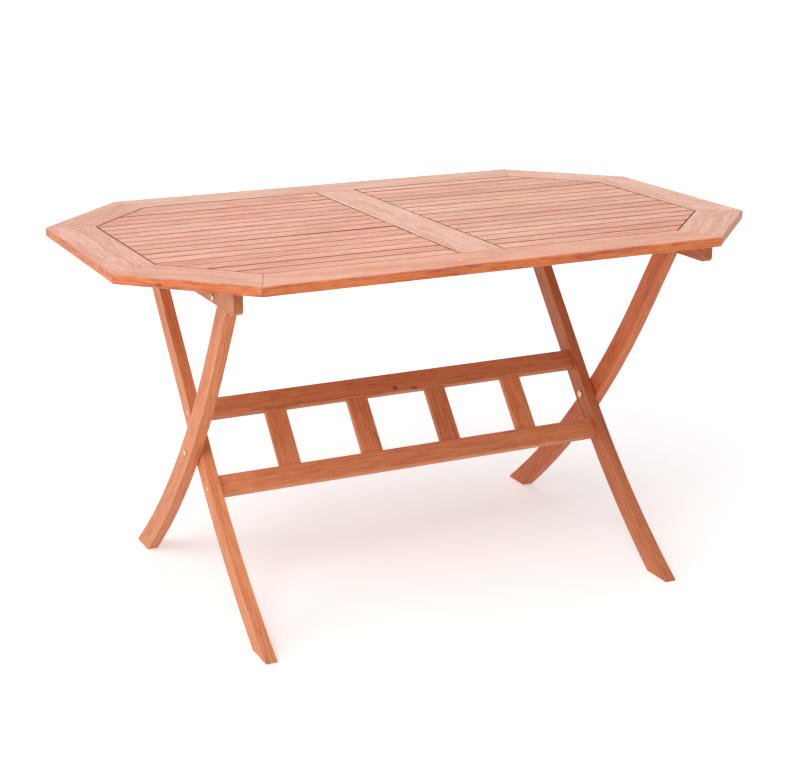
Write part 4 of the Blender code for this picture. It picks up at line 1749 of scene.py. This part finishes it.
@dataclass
class Batten:
    """The bearer under the top, bolted to the outer leg and notched to drop on the crossbar."""

    side: Side
    crossbar: Vector
    thickness: float = 0.019
    length: float = 0.732
    bottom: float = BATTEN_BOTTOM
    top: float = 0.7197
    corner_radius: float = 0.010
    arris: float = 0.0015
    notch_radius: float = 0.0116
    notch_lean: float = 30.0
    round_from: float = 60.0
    notch_steps: int = 14
    corner_steps: int = 6

    def build(self) -> Piece:
        """Make the batten as a plain mesh, marked for its finish.

        Returns:
            The batten.
        """
        middle_x = self.side.value * BATTEN_X
        outline = self._outline()
        shell = bmesh.new()
        skin(shell, [[Vector((middle_x + offset, point.x, point.y)) for point in outline]
                     for offset in (-self.thickness / 2, self.thickness / 2)])
        piece = close(shell, f"bearer_{self.side.label}")
        bevel = piece.modifiers.new("arris_rounding", "BEVEL")
        bevel.limit_method, bevel.angle_limit = "ANGLE", math.radians(self.round_from)
        bevel.width, bevel.segments = self.arris, 3
        settle(bake_down(piece))
        middle = Vector((middle_x, 0, (self.bottom + self.top) / 2))
        # The low tone paints the shade that the top casts on the batten.
        mark_straight(piece, Axes(middle, AXIS_Y, AXIS_Z, AXIS_X), shade=Shade(-3.0))
        return piece

    def _outline(self) -> Outline:
        """Draw the batten from the side: the notch's front wall leans to free the bar.

        Returns:
            The outline in Y and Z, counterclockwise.
        """
        half = self.length / 2
        wall = arc(self.crossbar, self.notch_radius, 180 - self.notch_lean, 0, self.notch_steps)
        lean = math.radians(self.notch_lean)
        foot_y = wall[0].x - (wall[0].y - self.bottom) * math.tan(lean)
        notch = [Vector((foot_y, self.bottom)), *wall,
                 Vector((self.crossbar.x + self.notch_radius, self.bottom))]
        outline = [Vector((-half, self.top)), Vector((-half, self.bottom)), *notch,
                   Vector((half, self.bottom)), Vector((half, self.top))]
        for corner in (len(outline) - 2, 1):
            outline = fillet(outline, corner, self.corner_radius, self.corner_steps)
        return outline


@dataclass
class Ladder:
    """The two long rails between the inner legs, and the flat slats mortised between them."""

    line: BowLine
    half_length: float = 0.4327
    rail_width: float = 0.0425
    rail_thickness: float = 0.020
    rail_offset: float = 0.0826
    rail_arris: float = 0.003
    slat_width: float = 0.0455
    slat_thickness: float = 0.012
    slat_places: tuple[float, ...] = (-0.2728, -0.0902, 0.0902, 0.2728)
    slat_arris: float = 0.0015
    end_easing: float = 0.0005
    housed: float = 0.0095

    def frame(self) -> tuple[Vector, Vector, Vector]:
        """Find the plane that the ladder lies in.

        Returns:
            The ladder's middle, its upward direction and the one through it.
        """
        upper, lower = (self.line.world(self.line.at(sign * self.rail_offset)[0])
                        for sign in (1, -1))
        up = (upper - lower).normalized()
        middle = (upper + lower) / 2
        return (Vector((0, middle.x, middle.y)), Vector((0, up.x, up.y)),
                Vector((0, up.y, -up.x)))

    def rail(self, name: str, sign: int) -> Piece:
        """Make one rail.

        Args:
            name: The piece's name.
            sign: 1 for the rail above the ladder's middle, and -1 for the one below it.

        Returns:
            The rail, marked for its finish.
        """
        middle, up, through = self.frame()
        axes = Axes(middle + sign * self.rail_offset * up, AXIS_X, up, through)
        # The upper rail's lower tone paints the shade that the top casts on it.
        return self._strip(name, axes, (self.rail_width, self.rail_thickness, self.rail_arris),
                           self.half_length, Shade(-1.3 if sign > 0 else -0.2))

    def slat(self, number: int) -> Piece:
        """Make one of the flat slats.

        Args:
            number: The slat, counted from the left, from 1.

        Returns:
            The slat, marked for its finish.
        """
        middle, up, through = self.frame()
        axes = Axes(middle + self.slat_places[number - 1] * AXIS_X, up, AXIS_X, through)
        reach = self.rail_offset - self.rail_width / 2 + self.housed
        return self._strip(f"ladder_rung_{number:02d}", axes,
                           (self.slat_width, self.slat_thickness, self.slat_arris), reach)

    def _strip(self, name: str, axes: Axes, section: tuple[float, float, float], reach: float,
               shade: Shade | None = None) -> Piece:
        """Make a straight strip of wood.

        Args:
            name: The piece's name.
            axes: The strip's own frame, from its middle.
            section: Its width, its thickness and the radius of its arrises.
            reach: Half its length.
            shade: Its shade, or None for a chance tone.

        Returns:
            The strip, marked for its finish.
        """
        width, thickness, arris = section
        piece = settle(bar(name, axes, rounded_section(width, thickness, (arris,) * 4),
                           lambda across: (-reach, reach), self.end_easing))
        mark_straight(piece, axes, shade=shade)
        return piece


@dataclass(frozen=True)
class Ring:
    """One ring of a turned piece: its radius, its distance from the middle plane, its shape."""

    radius: float
    reach: float
    hexagonal: bool = False

    def points(self, axis: Vector, sign: int, steps: int) -> list[Vector]:
        """Place the ring round an axis along X.

        Args:
            axis: Y and Z of the axis.
            sign: 1 or -1: which side of the middle plane.
            steps: How many points it has.

        Returns:
            The points.
        """
        made = []
        for step in range(steps):
            angle = math.tau * step / steps
            radius = self.radius
            if self.hexagonal:
                sector = angle % HEXAGON_SECTOR - HEXAGON_SECTOR / 2
                radius *= math.cos(HEXAGON_SECTOR / 2) / math.cos(sector)
            made.append(Vector((sign * self.reach, axis.x + radius * math.cos(angle),
                                axis.y + radius * math.sin(angle))))
        return made


def turned(name: str, rings: Sequence[Ring], axis: Vector, sign: int, steps: int) -> Piece:
    """Turn a piece about an axis along X; its first and last rings are closed flat.

    Args:
        name: The piece's name.
        rings: Its rings, from end to end.
        axis: Y and Z of the axis.
        sign: 1 or -1: which side of the middle plane.
        steps: How many points go round.

    Returns:
        The piece, with a plain mesh.
    """
    shell = bmesh.new()
    skin(shell, [ring.points(axis, sign, steps) for ring in rings])
    return settle(close(shell, name))


@dataclass
class Crossbar:
    """The round bar through the tops of the inner legs, its ends eased."""

    axis: Vector
    radius: float = 0.011
    half_length: float = 0.5023
    easing: float = 0.002
    easing_angles: tuple[int, ...] = (0, 30, 60, 90)
    steps: int = 40

    def build(self) -> Piece:
        """Make the bar as a plain mesh, marked for its finish.

        Returns:
            The bar.
        """
        rings = []
        for angle in self.easing_angles:
            turn = math.radians(angle)
            rings.append(Ring(self.radius - self.easing * (1 - math.sin(turn)),
                              self.half_length - self.easing * (1 - math.cos(turn))))
        rings += [Ring(ring.radius, -ring.reach) for ring in reversed(rings)]
        piece = turned("round_crossbar", rings, self.axis, 1, self.steps)
        mark_wood(piece, self._locate)
        return piece

    def _locate(self, point: Vector) -> tuple[Vector, Axes]:
        """Find where a point lies within the bar.

        Args:
            point: The point, in the table's frame.

        Returns:
            Its place within the bar, and axes that follow the round surface.
        """
        away = Vector((0, point.y - self.axis.x, point.z - self.axis.y))
        outward = away.normalized() if away.length > TINY else AXIS_Z
        return (Vector((point.x, away.y, away.z)),
                Axes(point, AXIS_X, outward, AXIS_X.cross(outward)))


@dataclass
class Bolts:
    """The brass bolts at the tops of the outer legs and where the legs cross."""

    hinge: Vector
    pivot: Vector
    shank: float = 0.004
    head: float = 0.0065
    height: float = 0.003
    dome_share: float = 0.62
    dome_angles: tuple[int, ...] = (38, 52, 65, 77, 90)
    collar: float = 0.010
    nut: float = 0.0075
    nut_height: float = 0.003
    socket: float = 0.0031
    socket_depth: float = 0.0023
    nut_socket_depth: float = 0.0015
    floor_middle: float = 0.0001
    ease: float = 0.0003
    end_ease: float = 0.0004
    socket_ease: tuple[float, float] = (0.0004, 0.00025)
    hexagon_ease: tuple[float, float] = (0.0006, 0.0004)
    barrel_ease: tuple[float, float] = (0.0007, 0.0006)
    steps: int = 36

    @staticmethod
    def _faces(middle: float, thickness: float) -> tuple[float, float]:
        """Where brass bears on a piece of wood: just clear of its outer and its inner face."""
        half = thickness / 2 + CLEARANCE
        return middle + half, middle - half

    def _socket(self, outer: float, inner: float) -> list[Ring]:
        """Shape a hexagon socket in the end of a bolt or nut.

        Args:
            outer: Where its rim is.
            inner: Where its floor is.

        Returns:
            The rings, from the floor to the rim.
        """
        on_face, on_side = self.socket_ease
        rim = outer - math.copysign(on_side, outer - inner)
        return [Ring(self.floor_middle, inner), Ring(self.socket, inner, True),
                Ring(self.socket, rim, True), Ring(self.socket + on_face, outer)]

    def _domed_head(self, face: float) -> list[Ring]:
        """Shape a domed head.

        Args:
            face: The face that it bears on.

        Returns:
            The rings, from the floor of its socket to that face.
        """
        crown, rings = face + self.height, []
        for angle in self.dome_angles:
            turn = math.radians(angle)
            rings.append(Ring(self.head * math.sin(turn), crown - (
                self.height * self.dome_share * (1 - math.cos(turn)))))
        return [*self._socket(crown, crown - self.socket_depth), *rings,
                Ring(self.head, face + self.ease), Ring(self.head - self.ease, face)]

    @staticmethod
    def _disc(radius: float, outer: float, inner: float, ease: tuple[float, float],
              hexagonal: bool = False) -> list[Ring]:
        """Shape a collar or a nut with eased edges.

        Args:
            radius: Its radius.
            outer: Its outer face.
            inner: Its inner face.
            ease: How far its edges are eased, on the faces and on the side.
            hexagonal: Whether it is a hexagon.

        Returns:
            The rings, from outside inwards.
        """
        on_face, on_side = ease
        places = ((radius - on_face, outer), (radius, outer - on_side),
                  (radius, inner + on_side), (radius - on_face, inner))
        return [Ring(ring_radius, reach, hexagonal) for ring_radius, reach in places]

    def hinge_bolt(self, side: Side) -> Piece:
        """Make the bolt through batten and outer leg, with collar between and hexagon nut inside.

        Args:
            side: The end of the table.

        Returns:
            The bolt.
        """
        batten_out, batten_in = self._faces(BATTEN_X, Batten.thickness)
        leg_out, leg_in = self._faces(OUTER_LEG_X, BowedLeg.thickness)
        end = leg_in - self.nut_height
        rings = [
            *self._domed_head(batten_out), Ring(self.shank, batten_out),
            Ring(self.shank, batten_in),
            *self._disc(self.collar, batten_in, leg_out, (self.ease, self.ease)),
            Ring(self.shank, leg_out), Ring(self.shank, leg_in),
            *self._disc(self.nut, leg_in, end, self.hexagon_ease, True),
            Ring(self.shank, end), Ring(self.shank - self.end_ease, end)]
        return turned(f"hinge_bolt_set_{side.label}", rings, self.hinge, side.value, self.steps)

    def pivot_bolt(self, side: Side) -> Piece:
        """Make the bolt where the legs cross: a washer between them and a barrel nut inside.

        Args:
            side: The end of the table.

        Returns:
            The bolt.
        """
        outer_out, outer_in = self._faces(OUTER_LEG_X, BowedLeg.thickness)
        inner_out, inner_in = self._faces(INNER_LEG_X, BowedLeg.thickness)
        end, (on_face, on_side) = inner_in - self.nut_height, self.barrel_ease
        rings = [
            *self._domed_head(outer_out), Ring(self.shank, outer_out),
            Ring(self.shank, outer_in), Ring(self.collar, outer_in),
            Ring(self.collar, inner_out), Ring(self.shank, inner_out),
            Ring(self.shank, inner_in), Ring(self.nut - self.end_ease, inner_in),
            Ring(self.nut, inner_in - self.end_ease), Ring(self.nut, end + on_side),
            Ring(self.nut - on_face, end),
            *reversed(self._socket(end, end + self.nut_socket_depth))]
        return turned(f"pivot_bolt_set_{side.label}", rings, self.pivot, side.value, self.steps)


# Studio


@dataclass(frozen=True)
class Lamp:
    """A soft square lamp: where it stands, what it is aimed at, its size and its power."""

    name: str
    place: Triple
    target: Triple
    size: float
    power: float

    def build(self) -> None:
        """Add the lamp to the scene."""
        light = bpy.data.lights.new(self.name, "AREA")
        light.shape, light.size, light.energy = "SQUARE", self.size, self.power
        holder = put_in_scene(self.name, light)
        aim = Vector(self.target) - Vector(self.place)
        holder.location = self.place
        holder.rotation_euler = aim.to_track_quat("-Z", "Y").to_euler()


@dataclass(frozen=True)
class Camera:
    """The photograph's camera, by its angles in degrees, its place and its focal length."""

    azimuth: float = -25.708
    elevation: float = 16.686
    place: Triple = (-1.5023, -3.1082, 1.4255)
    focal_pixels: float = 1728.8

    def build(self) -> None:
        """Add the camera and make it the scene's own."""
        lens = bpy.data.cameras.new("photo_camera")
        lens.sensor_fit, lens.sensor_width = "HORIZONTAL", 36.0
        lens.lens = self.focal_pixels / IMAGE_WIDTH * lens.sensor_width
        lens.clip_start, lens.clip_end = 0.05, 200.0
        turn, tilt = math.radians(self.azimuth), math.radians(self.elevation)
        back = Vector((math.sin(turn) * math.cos(tilt), -math.cos(turn) * math.cos(tilt),
                       math.sin(tilt)))
        right = Vector((math.cos(turn), math.sin(turn), 0))
        axes = Matrix((right, back.cross(right), back)).transposed().to_4x4()
        camera = put_in_scene("photo_camera", lens)
        camera.matrix_world = Matrix.Translation(Vector(self.place)) @ axes
        bpy.context.scene.camera = camera


@dataclass(frozen=True)
class Studio:
    """Plain pale floor, white surroundings and soft lamps."""

    floor_size: float = 90.0
    floor_height: float = -0.0003
    floor_colour: Colour = (0.86, 0.86, 0.86)
    floor_bounce: Colour = (0.90, 0.90, 0.90)
    bounce_lift: float = 0.12
    near_lift: float = 0.44
    far_lift: float = 0.84
    lift_reach: tuple[float, float] = (0.9, 3.2)
    ambient: float = 0.285
    lamps: tuple[Lamp, ...] = (
        Lamp("key_lamp", (-3.6, -3.3, 5.4), (0.0, 0.0, 0.4), 3.4, 195.0),
        Lamp("overhead_lamp", (0.3, 0.2, 4.2), (0.0, 0.0, 0.0), 3.0, 58.0),
        Lamp("side_lamp", (-4.0, -0.8, 1.8), (0.0, 0.0, 0.4), 2.4, 45.0),
        Lamp("front_lamp", (-0.8, -4.2, 2.2), (0.0, 0.0, 0.4), 2.4, 10.0),
        Lamp("rear_lamp", (0.5, 3.6, 3.4), (0.0, 0.0, 0.5), 2.4, 8.5))

    def build(self) -> None:
        """Add floor, surroundings and lamps."""
        self._floor()
        self._surroundings()
        for lamp in self.lamps:
            lamp.build()
        bpy.context.scene.view_settings.view_transform = "Standard"

    @staticmethod
    def _seen(graph: Graph) -> Value:
        """Tell the rays that show a surface from those that light one.

        Args:
            graph: The tree.

        Returns:
            1 for rays from the camera, and for those that gloss and glass reflect or pass.
        """
        path = graph.node("ShaderNodeLightPath")
        seen = graph.math("MAXIMUM", graph.value(path, "Is Camera Ray"),
                          graph.value(path, "Is Glossy Ray"))
        return graph.math("MAXIMUM", seen, graph.value(path, "Is Transmission Ray"))

    @staticmethod
    def _lifted(graph: Graph, colour: Colour, lift: Value | float) -> Socket:
        """Make a matt colour that is lifted towards white by a faint glow.

        Args:
            graph: The material's tree.
            colour: The colour.
            lift: The strength of the glow.

        Returns:
            The shader.
        """
        matt = graph.shader("BsdfDiffuse", {"Color": paint(colour)})
        glow = graph.shader("Emission", {"Color": WHITE, "Strength": lift})
        return graph.shader("AddShader", {0: matt, 1: glow})

    def _floor(self) -> None:
        """A wide white floor that keeps the table's soft shadow, and is clear from below."""
        half = self.floor_size / 2
        mesh = bpy.data.meshes.new("studio_floor")
        mesh.from_pydata([(x, y, self.floor_height) for x, y in (
            (-half, -half), (half, -half), (half, half), (-half, half))], [], [(0, 1, 2, 3)])
        floor = put_in_scene("studio_floor", mesh)
        material, graph = new_material("white_floor")
        bounced = self._lifted(graph, self.floor_bounce, self.bounce_lift)
        away = graph.step(graph.length(graph.coordinate("Object")), *self.lift_reach)
        shown = self._lifted(graph, self.floor_colour,
                             self.near_lift + away * (self.far_lift - self.near_lift))
        chosen = graph.choose(self._seen(graph), bounced, shown)
        below = graph.value(graph.node("ShaderNodeNewGeometry"), "Backfacing")
        clear = graph.shader("BsdfTransparent", {"Color": WHITE})
        graph.surface(graph.choose(below, chosen, clear))
        mesh.materials.append(material)
        floor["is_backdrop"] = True

    def _surroundings(self) -> None:
        """White where they are seen or mirrored, and softer as a light."""
        world = bpy.data.worlds.new("studio")
        world.use_nodes = True
        world.node_tree.nodes.clear()
        graph = Graph(world.node_tree)
        soft, white = (graph.shader("Background", {"Color": WHITE, "Strength": strength})
                       for strength in (self.ambient, 1.0))
        graph.node("ShaderNodeOutputWorld", None, {
            "Surface": graph.choose(self._seen(graph), soft, white)})
        bpy.context.scene.world = world


OUTER_LINE = BowLine(top_lean=31.6, bow_radius=2.13, straight_from=0.302, mirrored=False)
INNER_LINE = BowLine(top_lean=38.8, bow_radius=1.77, straight_from=0.004, mirrored=True)
RAIL_SCREW = ScrewSet("rail_screws", head_radius=0.0042, head_height=0.0010,
                      socket_radius=0.0016, socket_depth=0.0009)
BATTEN_SCREW = ScrewSet("batten_screws", head_radius=0.0038, head_height=0.0006,
                        socket_radius=0.0014, socket_depth=0.0012)
BATTEN_SCREW_PLACES = (-0.335, -0.15, 0.02, 0.19, 0.338)


def top_place(line: BowLine, height: float) -> Vector:
    """Y and Z of the middle of a leg's round top."""
    return line.world(line.at(line.run_to_height(height))[0])


def build_legs(material: Material) -> None:
    """Make both pairs of legs and hand them over.

    Args:
        material: The frame wood's material.
    """
    # On the right, the inner leg's low tone paints the shade under the top, and both legs' warmth
    # paints warm light bounced into that shade.
    pairs = (
        (Body.OUTER_FRAME, "outer_leg", "front_bolted_leg", OUTER_LINE, OUTER_LEG_X,
         HINGE_HEIGHT, {Side.LEFT: Shade(0.0, 0.4), Side.RIGHT: Shade(0.2, 1.5)}),
        (Body.INNER_FRAME, "inner_leg", "crossbar_leg", INNER_LINE, INNER_LEG_X,
         CROSSBAR_HEIGHT, {Side.LEFT: Shade(0.5), Side.RIGHT: Shade(-3.4, 0.8)}))
    for side in Side:
        for body, node, name, line, middle_x, height, shades in pairs:
            leg = BowedLeg(f"{name}_{side.label}", line, side.value * middle_x, height,
                           shades[side])
            hand_over(leg.build(), body, Slot.FRAME_WOOD, material, [f"{node}_{side.label}"])


def build_bearers(material: Material, crossbar: Vector) -> None:
    """Make the battens under the top and the round crossbar that sits in their notches.

    Args:
        material: The frame wood's material.
        crossbar: Y and Z of the crossbar's axis.
    """
    for side in Side:
        hand_over(Batten(side, crossbar).build(), Body.TOP, Slot.FRAME_WOOD, material,
                  [f"batten_{side.label}"])
    hand_over(Crossbar(crossbar).build(), Body.INNER_FRAME, Slot.FRAME_WOOD, material,
              ["crossbar"])


def build_ladder(material: Material) -> None:
    """Make the rails and slats between the inner legs.

    Args:
        material: The frame wood's material.
    """
    ladder = Ladder(INNER_LINE)
    for name, sign in (("upper_rail", 1), ("lower_rail", -1)):
        hand_over(ladder.rail(f"ladder_{name}", sign), Body.INNER_FRAME, Slot.FRAME_WOOD,
                  material, [name])
    for number in range(1, len(ladder.slat_places) + 1):
        hand_over(ladder.slat(number), Body.INNER_FRAME, Slot.FRAME_WOOD, material,
                  [f"ladder_slat_{number:02d}"])


def build_hardware(material: Material) -> None:
    """Make the bolts, and the screws that hold the rails and the battens.

    Args:
        material: The brass's material.
    """
    bolts = Bolts(top_place(OUTER_LINE, HINGE_HEIGHT), OUTER_LINE.pivot)
    for side in Side:
        for name, make in (("hinge_bolt", bolts.hinge_bolt), ("pivot_bolt", bolts.pivot_bolt)):
            hand_over(make(side), Body.OUTER_FRAME, Slot.BRASS, material,
                      [f"{name}_{side.label}"])
    ladder = Ladder(INNER_LINE)
    middle, up, _ = ladder.frame()
    leg_face = INNER_LEG_X + BowedLeg.thickness / 2
    rail_screws = [Screw(middle + sign * ladder.rail_offset * up + (
        side.value * leg_face) * AXIS_X, side.value * AXIS_X)
        for side in Side for sign in (1, -1)]
    batten_screws = [Screw(Vector((side.value * BATTEN_X, place, BATTEN_BOTTOM)), -AXIS_Z)
                     for side in Side for place in BATTEN_SCREW_PLACES]
    for kind, screws, body in ((RAIL_SCREW, rail_screws, Body.INNER_FRAME),
                               (BATTEN_SCREW, batten_screws, Body.TOP)):
        hand_over(kind.build(screws, material), body, Slot.BRASS, material)


def corners(box: Sequence[Vector]) -> list[list[float]]:
    """A box's corners as plain lists."""
    return [[float(part) for part in corner] for corner in box]


def main() -> None:
    """Load the frame, build every piece round it, and set up the studio."""
    logging.basicConfig(level=logging.INFO, format="%(name)s: %(message)s")
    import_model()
    frame_box = corners(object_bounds())
    frame_wood = FRAME_WOOD.material()
    TableTop().build()
    build_legs(frame_wood)
    build_bearers(frame_wood, top_place(INNER_LINE, CROSSBAR_HEIGHT))
    build_ladder(frame_wood)
    build_hardware(BRASS.material())
    Studio().build()
    Camera().build()
    sizes = {"cad": frame_box, "visual": corners(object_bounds())}
    LOG.info("sizes: %s", sizes)


if __name__ == "__main__":
    main()
